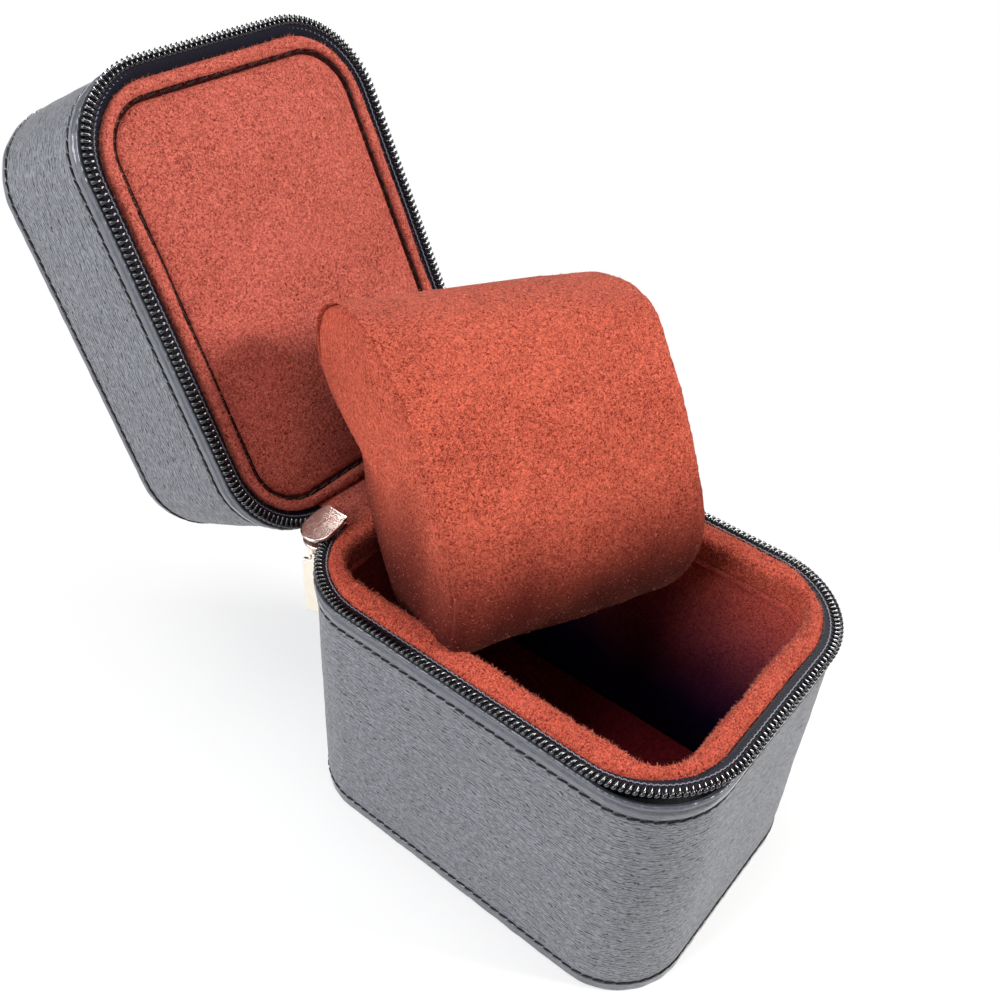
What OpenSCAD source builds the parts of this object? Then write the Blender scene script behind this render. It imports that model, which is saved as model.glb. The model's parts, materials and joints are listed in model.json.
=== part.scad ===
// A travel case for one wristwatch: a deep base and a shallower padded lid in grained leather,
// joined by a soft hinge at the back and closed by a coil zip round the other three sides.
// A loose C-shaped cushion holds the watch. The case is drawn open with the cushion half out.
// The origin is the middle of the underside. X runs left to right, Y runs back to the hinge, Z up.

/* [Case] */
// Width over the leather
case_w = 74.8; // [68:0.2:95]
// Depth from the front to the hinge
case_d = 100; // [88:0.5:125]
// Corner radius of the walls in plan
case_r = 17.6; // [15:0.1:21]
// Height of the base up to the plane where the halves meet
base_h = 70.3; // [66:0.1:90]
// Height of the lid above that plane
lid_h = 39.7; // [32:0.1:50]
// Angle of the lid when it lies open
lid_open = 118.2; // [90:0.1:120]

/* [Walls] */
// Thickness of the leather
leather_t = 0.8; // [0.6:0.1:1]
// Thickness of the board under the leather
board_t = 2.4; // [1.8:0.1:3]
// Thickness of the suede lining
lining_t = 1; // [0.6:0.1:1.4]
// From the outside of the leather to the wall of the well
well_inset = 7.3; // [6.4:0.1:8.5]
// Corner radius of the well
well_r = 8.2; // [6:0.1:10]
// Height of the leather band round the bottom edge
bottom_band_h = 3; // [2:0.1:5]
// Height of the outer band round the top of the lid
lid_band_h = 2.1; // [1.6:0.1:4]
// Height of the turned leather edge beside the zip
edge_h = 4.6; // [3.5:0.1:6]
// How far the turned edge stands proud of the wall
edge_proud = 0.3; // [0.2:0.05:0.6]
// Width of a line of sewing thread
thread_w = 0.7; // [0.4:0.05:0.9]
// How far the thread stands proud of the leather
thread_proud = 0.3; // [0.2:0.05:0.5]

/* [Padding] */
// Height of the rolled suede pad on the rim of the base
rim_h = 5.4; // [4:0.1:7]
// Radius of the roll on the rim pads
rim_round = 2; // [1:0.1:2.2]
// Thickness of the floor pad of the well at its edge
floor_pad_t = 1.8; // [1.4:0.1:3]
// Rise of the floor pad in its middle
floor_crown = 0.8; // [0.4:0.1:1.5]
// Thickness of the lid panel pad at its edge
panel_t = 2.4; // [1.8:0.1:3.5]
// Rise of the lid panel pad in its middle
panel_crown = 0.5; // [0.3:0.1:0.6]
// From the outside of the lid to its rim pad
lid_rim_inset = 3.3; // [2.8:0.1:4]
// From the outside of the lid to the groove round its panel
groove_inset = 6.1; // [5.2:0.1:7]
// Width of the groove round the lid panel
groove_w = 0.5; // [0.3:0.1:1]
// Corner radius of the lid panel
panel_r = 11.1; // [9:0.1:13]

/* [Zip] */
// From the wall to the outer edge of the base coil
coil_out = 1.8; // [1.2:0.1:2.4]
// Width of each coil
coil_w = 2; // [1.6:0.1:2.4]
// Thickness of each coil
coil_t = 1.3; // [1:0.1:1.5]
// Thickness of the zip tape
tape_t = 0.4; // [0.3:0.1:0.5]
// Corner radius of the outer edge of the base coil
coil_r = 22.9; // [21:0.1:25]
// Drop of the base coil below the plane where the halves meet
base_coil_drop = 0.5; // [0.4:0.1:1]
// Rise of the lid coil above that plane
lid_coil_rise = 1.2; // [1.1:0.1:2]
// Outset of the lid coil from the wall
lid_coil_out = 0.5; // [0.2:0.1:1]
// Thickness of each plate of the slider
plate_t = 0.9; // [0.7:0.1:1]
// Length of the slider
slider_l = 11.3; // [9.5:0.1:13]
// Reach of the slider plates inside the outer edge of the coil
slider_in = 3.3; // [2.8:0.1:3.5]
// Reach of the slider plates beyond the outer edge of the coil
slider_outer = 2.6; // [2.4:0.1:2.7]
// Place of the slider round the corner, as a turn from the right-hand direction
slider_at = 112; // [110:0.5:114]
// Clearance between moving pieces
clear = 0.3; // [0.2:0.05:0.4]
// Length of the pull bar
pull_l = 17; // [12:0.5:19]
// Width of the pull bar
pull_w = 4; // [3.4:0.1:4.2]
// Thickness of the pull bar
pull_t = 1.2; // [0.9:0.1:1.5]

/* [Hinge] */
// Height of the hinge axis below the plane where the halves meet
hinge_drop = 1.75; // [1.6:0.05:1.9]
// Distance of the hinge axis behind the wall
hinge_back = 1.65; // [1.6:0.05:1.8]
// Radius of the rolled bead of the hinge leather
bead_r = 0.9; // [0.7:0.05:1]

/* [Cushion] */
// Length of the cushion across the case, without its end panels
cushion_l = 47.6; // [40:0.1:48]
// Long side of its C-shaped end
cushion_long = 70; // [58:0.5:71]
// Thickness of the cushion
cushion_t = 30; // [25:0.5:30.5]
// Bow of its rounded front
cushion_bow = 8.5; // [6:0.5:9]
// Radius of its rounded long ends
cushion_round = 14; // [11:0.5:15]
// Depth of the slit across its back
slit_d = 6; // [3:0.5:7]
// Half of the width of the slit where it opens
slit_w = 3; // [2:0.5:4]
// How far the ends of the cushion are drawn in
drawn_in = 0.12; // [0.1:0.01:0.15]
// Thickness of each end panel in its middle
end_crown = 1.5; // [1:0.1:1.6]
// Radius of the foam core on which the cover sits
core_r = 5; // [4:0.5:5]
// Height of the foam core
core_h = 12; // [9:0.5:12]
// Place of the cushion's middle to the right of the middle of the case
cushion_x = 8.5; // [8:0.1:9]
// Place of the cushion's middle in front of the back wall
cushion_front = 26; // [26:0.1:28]
// Height of the cushion's middle above the plane where the halves meet
cushion_lift = 15.7; // [15.7:0.1:18]
// Turn of the cushion in plan
cushion_yaw = -23.5; // [-25:0.5:-22]
// Lean of the cushion back from upright
cushion_tilt = 42.1; // [41:0.1:44]

/* [Hidden] */
$fn = 64;
corner_n = 10;

leather = "#34373c";
leather_edge = "#26282c";
thread = "#111214";
tape = "#14151b";
coil = "#0c0c0e";
suede = "#a8432f";
board = "#6b5a48";
foam = "#c9c3b4";
metal = "#d8d2c8";

// Heights of the base, counted up from the underside
underside_t = leather_t;
board_floor_z = underside_t + board_t;
base_edge_top = base_h - 3.6;
base_edge_z = base_edge_top - edge_h;
base_coil_top = base_h - base_coil_drop;
base_coil_z = base_coil_top - coil_t;
base_tape_z = base_coil_z + (coil_t - tape_t) / 2;
rim_top = base_h - 0.5;
rim_z = rim_top - rim_h;
zip_inset = 1.3;
stop_l = 1.5;
outer_round = 1;
seam_in = 0.5;

// Heights of the lid, counted up with the case closed
lid_top = base_h + lid_h;
lid_coil_z = base_h + lid_coil_rise;
lid_tape_z = lid_coil_z + (coil_t - tape_t) / 2;
lid_edge_z = lid_coil_z + coil_t + 0.2;
lid_edge_top = lid_edge_z + edge_h;
lid_rim_z = base_h + 1.1;
lid_rim_top = lid_edge_top;
lid_coil_r = 19.6;
panel_z = lid_rim_z;

// Plan sizes of the zip path: its corner radius at the wall line
zip_r = coil_r - coil_out;
arc_x = case_w / 2 + coil_out - coil_r;
arc_y = case_d / 2 + coil_out - coil_r;
lid_zip_r = lid_coil_r - lid_coil_out;

slider_z = base_coil_z - clear - plate_t;
slider_top = base_coil_top + clear + plate_t;
post_y = 0.6;
pull_y = 2.1;
bridge_drop = 2.1;
pin_z = slider_z - 0.9;
link_l = 3.9;
link_gap = 1.7;
cheek_t = 0.5;
cheek_r = 0.8;
link_pin_r = 0.45;
core_front = 8;
hollow = 0.6 * cushion_bow;

sleeve_t = 0.6;
sleeve_from = 3;
sleeve_turn = 182;
hinge_y = case_d / 2 + hinge_back;
hinge_z = base_h - hinge_drop;
hinge_half = arc_x - 2.2;

// A rounded rectangle with true arcs, drawn in from the wall line by inset
module plan(inset, r) {
    hx = case_w / 2 - inset;
    hy = case_d / 2 - inset;
    square([2 * (hx - r), 2 * hy], center = true);
    square([2 * hx, 2 * (hy - r)], center = true);
    for (x = [-1, 1], y = [-1, 1])
        translate([x * (hx - r), y * (hy - r)])
            circle(r);
}

// A plain upright ring between two insets whose corners share the centres of the case corners
module wall(outer, inner, z0, z1) {
    translate([0, 0, z0])
        linear_extrude(z1 - z0)
            difference() {
                plan(outer, case_r - outer);
                plan(inner, case_r - inner);
            }
}

// Carries a flat profile round the case. The profile's x is the distance outside the path
// that lies at the wall line with corner radius r. Its y is the height. An open path leaves
// out the straight stretch at the back.
module round_case(r, open = false) {
    hx = case_w / 2 - r;
    hy = case_d / 2 - r;
    for (c = [[hx, hy, 0], [-hx, hy, 90], [-hx, -hy, 180], [hx, -hy, 270]])
        translate([c[0], c[1], 0])
            rotate([0, 0, c[2]])
                rotate_extrude(angle = 90)
                    translate([r, 0])
                        children();
    for (s = [[hx, 0, 2 * hy], [-hx, 180, 2 * hy]])
        translate([s[0], 0, 0])
            rotate([90, 0, s[1]])
                translate([0, 0, -s[2] / 2])
                    linear_extrude(s[2])
                        translate([r, 0])
                            children();
    for (s = open ? [[-hy, -90]] : [[-hy, -90], [hy, 90]])
        translate([0, s[0], 0])
            rotate([0, 0, s[1]])
                rotate([90, 0, 0])
                    translate([0, 0, -hx])
                        linear_extrude(2 * hx)
                            translate([r, 0])
                                children();
}

// Turns the lid's own pieces, drawn with the case closed, back about the hinge
module lid_place() {
    translate([0, hinge_y, hinge_z])
        rotate([-lid_open, 0, 0])
            translate([0, -hinge_y, -hinge_z])
                children();
}

// A thin half-round line of thread standing on the wall at height z
module seam(z) {
    flank = 0.7 * thread_proud;
    round_case(case_r)
        polygon([[0, z - thread_w / 2], [flank, z - thread_w / 3], [thread_proud, z],
            [flank, z + thread_w / 3], [0, z + thread_w / 2]]);
}

// What is cut from the corner at [x, z] of a profile to round it to radius r. The solid lies
// towards side in x, and below the corner where up is 1 or above it where up is -1.
module corner_cut(x, z, r, side, up) {
    spare = 0.5;
    difference() {
        translate([x + side * (r - spare) / 2, z - up * (r - spare) / 2])
            square(r + spare, center = true);
        translate([x + side * r, z - up * r])
            circle(r);
    }
}

// A leather edge turned over the end of the wall, from its root to its rounded lip.
// way is 1 where the lip points up and -1 where it points down.
module turned_edge(root, lip, way) {
    inside = edge_proud - leather_t;
    bend = lip - way * leather_t / 2;
    slope = 0.5;
    round_case(case_r)
        union() {
            polygon([[inside, root], [0, root], [edge_proud, root + way * slope],
                [edge_proud, bend], [inside, bend]]);
            translate([(edge_proud + inside) / 2, bend])
                circle(leather_t / 2);
        }
}

module base_board() {
    color(board) {
        wall(leather_t, leather_t + board_t, board_floor_z, rim_z);
        translate([0, 0, underside_t])
            linear_extrude(board_t)
                plan(leather_t, case_r - leather_t);
    }
}

module base_wrap() {
    color(leather)
        wall(0, leather_t, bottom_band_h, base_edge_z);
}

module base_bottom_band() {
    color(leather_edge)
        wall(0, leather_t, 0, bottom_band_h);
}

module base_underside() {
    color(leather)
        linear_extrude(underside_t)
            plan(leather_t, case_r - leather_t);
}

module base_lower_seam() {
    color(thread)
        seam(bottom_band_h + seam_in);
}

module base_upper_seam() {
    color(thread)
        seam(base_edge_z - seam_in);
}

module base_turned_edge() {
    color(leather_edge)
        turned_edge(base_edge_z, base_edge_top, 1);
}

// The tape stands against the rim pad and turns out flat to the coil
module base_zip_tape() {
    color(tape)
        round_case(zip_r, open = true)
            polygon([[-zip_inset, rim_z], [-zip_inset + tape_t, rim_z],
                [-zip_inset + tape_t, base_tape_z], [coil_out - coil_w, base_tape_z],
                [coil_out - coil_w, base_tape_z + tape_t], [-zip_inset, base_tape_z + tape_t]]);
}

module coil_profile(outer, z) {
    translate([outer - coil_w, z])
        square([coil_w - coil_t / 2, coil_t]);
    translate([outer - coil_t / 2, z + coil_t / 2])
        circle(coil_t / 2);
}

module base_zip_coil() {
    color(coil)
        round_case(zip_r, open = true)
            coil_profile(coil_out, base_coil_z);
}

// Two small metal stops that close the coil beside the hinge
module zip_end_stops() {
    color(metal)
        for (x = [-1, 1])
            translate([x * (arc_x - stop_l / 2), case_d / 2 + coil_out - coil_w / 2, base_coil_z + coil_t / 2])
                cube([stop_l, coil_w, coil_t], center = true);
}

module base_foam_wall() {
    color(foam)
        translate([0, 0, board_floor_z])
            linear_extrude(rim_z - board_floor_z)
                difference() {
                    plan(leather_t + board_t, case_r - leather_t - board_t);
                    plan(well_inset - lining_t, well_r + lining_t);
                }
}

module base_liner_wall() {
    color(suede)
        translate([0, 0, board_floor_z])
            linear_extrude(rim_z - board_floor_z)
                difference() {
                    plan(well_inset - lining_t, well_r + lining_t);
                    plan(well_inset, well_r);
                }
}

// The rolled rim: an upright band whose two upper corners are rounded off
module base_rim_pad() {
    color(suede)
        difference() {
            translate([0, 0, rim_z])
                linear_extrude(rim_h)
                    difference() {
                        plan(zip_inset, zip_r - zip_inset);
                        plan(well_inset, well_r);
                    }
            round_case(zip_r)
                corner_cut(-zip_inset, rim_top, outer_round, -1, 1);
            round_case(well_r + well_inset)
                corner_cut(-well_inset, rim_top, rim_round, 1, 1);
        }
}

// Points round a rounded rectangle with half sizes hx and hy, a few to each corner
function outline(hx, hy, r) =
    [for (c = [0:3]) for (k = [0:corner_n - 1])
        let (a = 90 * c + 90 * k / (corner_n - 1))
            [(c == 0 || c == 3 ? 1 : -1) * (hx - r) + r * cos(a), (c < 2 ? 1 : -1) * (hy - r) + r * sin(a)]];

// A padded plate of thickness t whose upper face swells by crown and rolls over at its rim
module padded_plate(hx, hy, r, t, crown) {
    rings = 7;
    roll = 0.5;
    edge = outline(hx, hy, r);
    n = len(edge);
    inner = 1 - roll / hx;
    top = [for (k = [1:rings]) for (p = edge)
        let (u = inner * sin(90 * k / rings))
            [p[0] * u, p[1] * u, t + crown * (1 - pow(u / inner, 4))]];
    side = [for (p = edge) [p[0], p[1], t - roll]];
    foot = [for (p = edge) [p[0], p[1], 0]];
    points = concat([[0, 0, t + crown]], top, side, foot, [[0, 0, 0]]);
    rows = rings + 2;
    last = len(points) - 1;
    faces = concat(
        [for (j = [0:n - 1]) [0, 1 + (j + 1) % n, 1 + j]],
        [for (k = [0:rows - 2]) for (j = [0:n - 1])
            let (a = 1 + k * n, b = a + n, i = (j + 1) % n)
                [a + j, a + i, b + i]],
        [for (k = [0:rows - 2]) for (j = [0:n - 1])
            let (a = 1 + k * n, b = a + n, i = (j + 1) % n)
                [a + j, b + i, b + j]],
        [for (j = [0:n - 1]) [last, last - n + j, last - n + (j + 1) % n]]);
    polyhedron(points, faces);
}

module base_floor_pad() {
    color(suede)
        translate([0, 0, board_floor_z])
            padded_plate(case_w / 2 - well_inset - clear, case_d / 2 - well_inset - clear,
                well_r - clear, floor_pad_t, floor_crown);
}

// Carries a profile along the hinge: its x is the distance behind the axis, its y the height
module along_hinge(half) {
    translate([-half, hinge_y, hinge_z])
        rotate([90, 0, 90])
            linear_extrude(2 * half)
                children();
}

// A strip on the back wall that hooks over the turned edge and ends in a bead round the axis
module hinge_leather() {
    edge = edge_proud - hinge_back;
    top = base_edge_top - hinge_z;
    foot = 0.4;
    hook = 0.5;
    ease = 0.05;
    chamfer = 0.2;
    low = base_edge_z - hinge_z + foot;
    reach = bead_r + clear + sleeve_t + clear;
    neck = -0.6 * bead_r;
    color(leather)
        along_hinge(hinge_half)
            union() {
                circle(bead_r);
                polygon([[edge + leather_t, low], [edge + leather_t, -reach],
                    [edge + chamfer, top + ease], [edge, top + hook], [edge + ease, -bead_r],
                    [neck, -bead_r], [neck, -bead_r / 3], [edge - leather_t, -bead_r / 3],
                    [edge - leather_t, top + ease], [edge - chamfer - ease, top + ease],
                    [edge, top - chamfer], [edge, low]]);
            }
}

module lid_board() {
    color(board)
        lid_place() {
            wall(leather_t, leather_t + board_t, lid_edge_top, lid_top - leather_t - board_t);
            translate([0, 0, lid_top - leather_t - board_t])
                linear_extrude(board_t)
                    plan(leather_t, case_r - leather_t);
        }
}

module lid_foam() {
    color(foam)
        lid_place() {
            translate([0, 0, lid_rim_top])
                linear_extrude(lid_top - leather_t - board_t - lid_rim_top)
                    plan(leather_t + board_t, case_r - leather_t - board_t);
            translate([0, 0, panel_z + panel_t])
                linear_extrude(lid_rim_top - panel_z - panel_t)
                    plan(groove_inset, panel_r);
        }
}

module lid_wrap() {
    color(leather)
        lid_place()
            wall(0, leather_t, lid_edge_top, lid_top - lid_band_h);
}

module lid_outer_band() {
    color(leather_edge)
        lid_place()
            wall(0, leather_t, lid_top - lid_band_h, lid_top);
}

module lid_top_panel() {
    color(leather)
        lid_place()
            translate([0, 0, lid_top - leather_t])
                linear_extrude(leather_t)
                    plan(leather_t, case_r - leather_t);
}

module lid_outer_seam() {
    color(thread)
        lid_place()
            seam(lid_top - lid_band_h - seam_in);
}

module lid_edge_seam() {
    color(thread)
        lid_place()
            seam(lid_edge_top + seam_in);
}

module lid_turned_edge() {
    color(leather_edge)
        lid_place()
            turned_edge(lid_edge_top, lid_edge_z, -1);
}

// The tape lies flat between the rim pad and the coil
module lid_zip_tape() {
    color(tape)
        lid_place() {
            round_case(lid_zip_r, open = true)
                polygon([[-lid_rim_inset, lid_tape_z], [lid_coil_out - coil_w, lid_tape_z],
                    [lid_coil_out - coil_w, lid_tape_z + tape_t],
                    [-lid_rim_inset + tape_t, lid_tape_z + tape_t],
                    [-lid_rim_inset + tape_t, lid_edge_top], [-lid_rim_inset, lid_edge_top]]);
        }
}

module lid_zip_coil() {
    color(coil)
        lid_place()
            round_case(lid_zip_r, open = true)
                coil_profile(lid_coil_out, lid_coil_z);
}

module lid_rim_pad() {
    color(suede)
        lid_place()
            difference() {
                translate([0, 0, lid_rim_z])
                    linear_extrude(lid_rim_top - lid_rim_z)
                        difference() {
                            plan(lid_rim_inset, lid_zip_r - lid_rim_inset);
                            plan(groove_inset, panel_r);
                        }
                round_case(lid_zip_r)
                    corner_cut(-lid_rim_inset, lid_rim_z, outer_round, -1, -1);
            }
}

module lid_panel_pad() {
    color(suede)
        lid_place()
            translate([0, 0, panel_z + panel_t])
                mirror([0, 0, 1])
                    padded_plate(case_w / 2 - groove_inset - groove_w,
                        case_d / 2 - groove_inset - groove_w, panel_r - groove_w, panel_t,
                        panel_crown);
}

// A leather leaf on the lid wall whose foot is a sleeve round the bead
module hinge_flap() {
    inner = bead_r + clear;
    half = hinge_half - clear;
    edge = edge_proud - hinge_back;
    top_gap = 0.6;
    color(leather)
        lid_place() {
            translate([-half, hinge_y, hinge_z])
                rotate([90, 0, 90])
                    rotate([0, 0, sleeve_from])
                        rotate_extrude(angle = sleeve_turn)
                            translate([inner, 0])
                                square([sleeve_t, 2 * half]);
            along_hinge(half)
                translate([edge, inner])
                    square([leather_t, lid_edge_top - hinge_z - inner - top_gap]);
        }
}

// A suede strip between the rim pad and the turned edge of the lid, along the hinge
module hinge_lining() {
    y0 = case_d / 2 - lid_rim_inset;
    y1 = case_d / 2 + edge_proud - leather_t;
    below_round = 0.2;
    color(suede)
        lid_place()
            translate([-hinge_half, y0, lid_rim_z + outer_round + below_round])
                cube([2 * hinge_half, y1 - y0, leather_t]);
}

// The outline of a slider plate: round where the coils go in, narrow where they leave closed
module slider_outline() {
    w = slider_in + slider_outer;
    mid = (slider_outer - slider_in) / 2;
    x = w / 2 - slider_l / 2;
    waist_x = 0.9;
    waist_in = 0.6;
    tail = 0.8;
    translate([x, mid])
        circle(w / 2);
    polygon([[x, -slider_in], [waist_x, waist_in - slider_in], [slider_l / 2, mid - tail],
        [slider_l / 2, mid + tail], [waist_x, slider_outer - waist_in], [x, slider_outer]]);
}

// Places the slider on the corner arc: x along the zip, y outwards from the edge of the coil
module slider_place() {
    translate([-arc_x, arc_y, 0])
        rotate([0, 0, slider_at - 90])
            translate([0, coil_r, 0])
                children();
}

module slider_body() {
    post_l = 2.4;
    post_w = 1.2;
    rim_gap = 0.4;
    color(metal)
        slider_place() {
            translate([0, 0, slider_top - plate_t])
                linear_extrude(plate_t)
                    slider_outline();
            translate([0, 0, slider_z])
                linear_extrude(plate_t)
                    intersection() {
                        slider_outline();
                        translate([-slider_l, rim_gap - coil_w])
                            square(2 * slider_l);
                    }
            translate([-post_l / 2, post_y, slider_z])
                cube([post_l, post_w, slider_top - slider_z]);
        }
}

// The small bridge under the lower plate that holds the pull
module slider_bridge() {
    half = 2.3;
    leg = 0.4;
    depth = 1;
    floor_t = 0.5;
    color(metal)
        slider_place()
            translate([0, pull_y, slider_z - bridge_drop])
                difference() {
                    translate([-half, -depth / 2, 0])
                        cube([2 * half, depth, bridge_drop]);
                    translate([-half + leg, -depth, floor_t])
                        cube([2 * (half - leg), 2 * depth, bridge_drop]);
                }
}

// Places the pull with the origin on its pin, which lies outwards from the zip
module pull_place() {
    slider_place()
        translate([0, pull_y, pin_z])
            children();
}

module cross_pin(z, r, l) {
    translate([0, -l / 2, z])
        rotate([-90, 0, 0])
            cylinder(h = l, r = r);
}

// Two cheeks joined by the pin in the bridge and the pin through the bar
module pull_link() {
    color(metal)
        pull_place() {
            for (side = [0, 1])
                mirror([0, side, 0])
                    translate([0, link_gap / 2, 0])
                        rotate([-90, 0, 0])
                            linear_extrude(cheek_t) {
                                circle(cheek_r);
                                translate([0, link_l])
                                    circle(cheek_r);
                                translate([-cheek_r, 0])
                                    square([2 * cheek_r, link_l]);
                            }
            cross_pin(0, link_pin_r, link_gap + 2 * cheek_t);
            cross_pin(-link_l, link_pin_r, link_gap + 2 * cheek_t);
        }
}

// A flat bar with a narrow neck between the cheeks and rounded lower corners
module pull_tab() {
    neck_w = link_gap - 0.2;
    neck_top = 0.9 - link_l;
    shoulder = -link_l - cheek_r - clear;
    foot = neck_top - pull_l;
    overlap = 0.5;
    r = 1.1;
    color(metal)
        pull_place()
            difference() {
                translate([-pull_t / 2, 0, 0])
                    rotate([90, 0, 90])
                        linear_extrude(pull_t) {
                            translate([-neck_w / 2, shoulder - overlap])
                                square([neck_w, neck_top - shoulder + overlap]);
                            translate([-pull_w / 2, foot + r])
                                square([pull_w, shoulder - foot - r]);
                            translate([r - pull_w / 2, foot])
                                square([pull_w - 2 * r, r + overlap]);
                            for (side = [-1, 1])
                                translate([side * (pull_w / 2 - r), foot + r])
                                    circle(r);
                        }
                cross_pin(-link_l, link_pin_r + 0.05, pull_w);
            }
}

module cushion_place() {
    translate([cushion_x, case_d / 2 - cushion_front, base_h + cushion_lift])
        rotate([0, 0, cushion_yaw])
            children();
}

// The end outline of the cushion, as [thickness, height] about its middle: a bowed front, two
// rounded long ends and a hollow back with a slit across its middle
function rounding(d) = cushion_t / 2 * (1 - sqrt(1 - pow(max(0, cushion_round - d) / cushion_round, 2)));
function squeeze(t) = rounding(cushion_long * t) + rounding(cushion_long * (1 - t));
function arch(t) = 4 * t * (1 - t);
function slit(t) = slit_d * max(0, 1 - abs(t - 0.5) * cushion_long / slit_w);
function front_side(t) = [squeeze(t) - cushion_t / 2 - cushion_bow * arch(t), cushion_long * (t - 0.5)];
function back_side(t) =
    [cushion_t / 2 - squeeze(t) - hollow * arch(t) - slit(t), cushion_long * (t - 0.5)];
end_steps = [for (k = [0:16]) (1 - cos(180 * k / 16)) / 2];
slit_steps = [for (k = [-1:1]) 0.5 + k * slit_w / cushion_long];
back_steps = concat([for (t = end_steps) if (t > 0 && (0.5 - t) * cushion_long > slit_w) t],
    slit_steps, [for (t = end_steps) if (t < 1 && (t - 0.5) * cushion_long > slit_w) t]);
end_outline = concat([for (t = end_steps) front_side(t)],
    [for (k = [len(back_steps) - 1:-1:0]) back_side(back_steps[k])]);
end_middle = [-cushion_bow / 2, 0];

// The outline drawn in about its middle by the factor k
function drawn(k) = [for (p = end_outline) end_middle + k * (p - end_middle)];

// A closed skin over outlines at the places xs, each drawn in by its factor in ks
module skin(xs, ks) {
    n = len(end_outline);
    rows = len(xs);
    points = concat([for (i = [0:rows - 1]) for (p = drawn(ks[i])) [xs[i], p[0], p[1]]],
        [[xs[0], end_middle[0], end_middle[1]], [xs[rows - 1], end_middle[0], end_middle[1]]]);
    first = rows * n;
    faces = concat(
        [for (i = [0:rows - 2]) for (j = [0:n - 1])
            [i * n + j, (i + 1) * n + j, (i + 1) * n + (j + 1) % n]],
        [for (i = [0:rows - 2]) for (j = [0:n - 1])
            [i * n + j, (i + 1) * n + (j + 1) % n, i * n + (j + 1) % n]],
        [for (j = [0:n - 1]) [first, j, (j + 1) % n]],
        [for (j = [0:n - 1]) [first + 1, (rows - 1) * n + (j + 1) % n, (rows - 1) * n + j]]);
    polyhedron(points, faces);
}

// The foam core stands upright inside the cover, in front of the slit
module core_solid(gap) {
    translate([0, -core_front * cos(cushion_tilt), core_front * sin(cushion_tilt)])
        cylinder(h = core_h + 2 * gap, r = core_r + gap, center = true);
}

module cushion_core() {
    color(foam)
        cushion_place()
            core_solid(0);
}

module cushion_cover() {
    steps = [for (k = [-6:6]) sin(15 * k)];
    color(suede)
        cushion_place()
            difference() {
                rotate([-cushion_tilt, 0, 0])
                    skin(steps * cushion_l / 2, [for (u = steps) 1 - drawn_in * pow(u, 6)]);
                core_solid(clear);
            }
}

// One padded end panel, flat against the end of the cover and crowned outwards
module end_panel(side) {
    steps = [0, 0.25, 0.6, 0.9];
    rim = 0.97 - drawn_in;
    color(suede)
        cushion_place()
            rotate([-cushion_tilt, 0, 0])
                mirror([side < 0 ? 1 : 0, 0, 0])
                    skin([for (v = steps) cushion_l / 2 + v / 0.9 * end_crown],
                        [for (v = steps) rim * sqrt(1 - v * v)]);
}

module cushion_end_left() {
    end_panel(-1);
}

module cushion_end_right() {
    end_panel(1);
}

base_board();
base_wrap();
base_bottom_band();
base_underside();
base_lower_seam();
base_upper_seam();
base_turned_edge();
base_zip_tape();
base_zip_coil();
zip_end_stops();
base_foam_wall();
base_liner_wall();
base_rim_pad();
base_floor_pad();
hinge_leather();
lid_board();
lid_foam();
lid_wrap();
lid_outer_band();
lid_top_panel();
lid_outer_seam();
lid_edge_seam();
lid_turned_edge();
lid_zip_tape();
lid_zip_coil();
lid_rim_pad();
lid_panel_pad();
hinge_flap();
hinge_lining();
slider_body();
slider_bridge();
pull_link();
pull_tab();
cushion_core();
cushion_cover();
cushion_end_left();
cushion_end_right();
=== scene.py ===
# %% [markdown]
# # A watch travel case, open, with its cushion half out
# The case is a deep base and a padded lid in grained leather, lined with suede, with a coil zip
# round three sides and a soft hinge at the back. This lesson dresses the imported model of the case:
# each surface is worked out as whole arrays of points, and each finish is a node material.
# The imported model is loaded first. It fixes every size and place, and nothing in it is moved.

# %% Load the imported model
import json

import bmesh
import bpy
import numpy as np
from mathutils import Matrix, Vector


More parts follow.
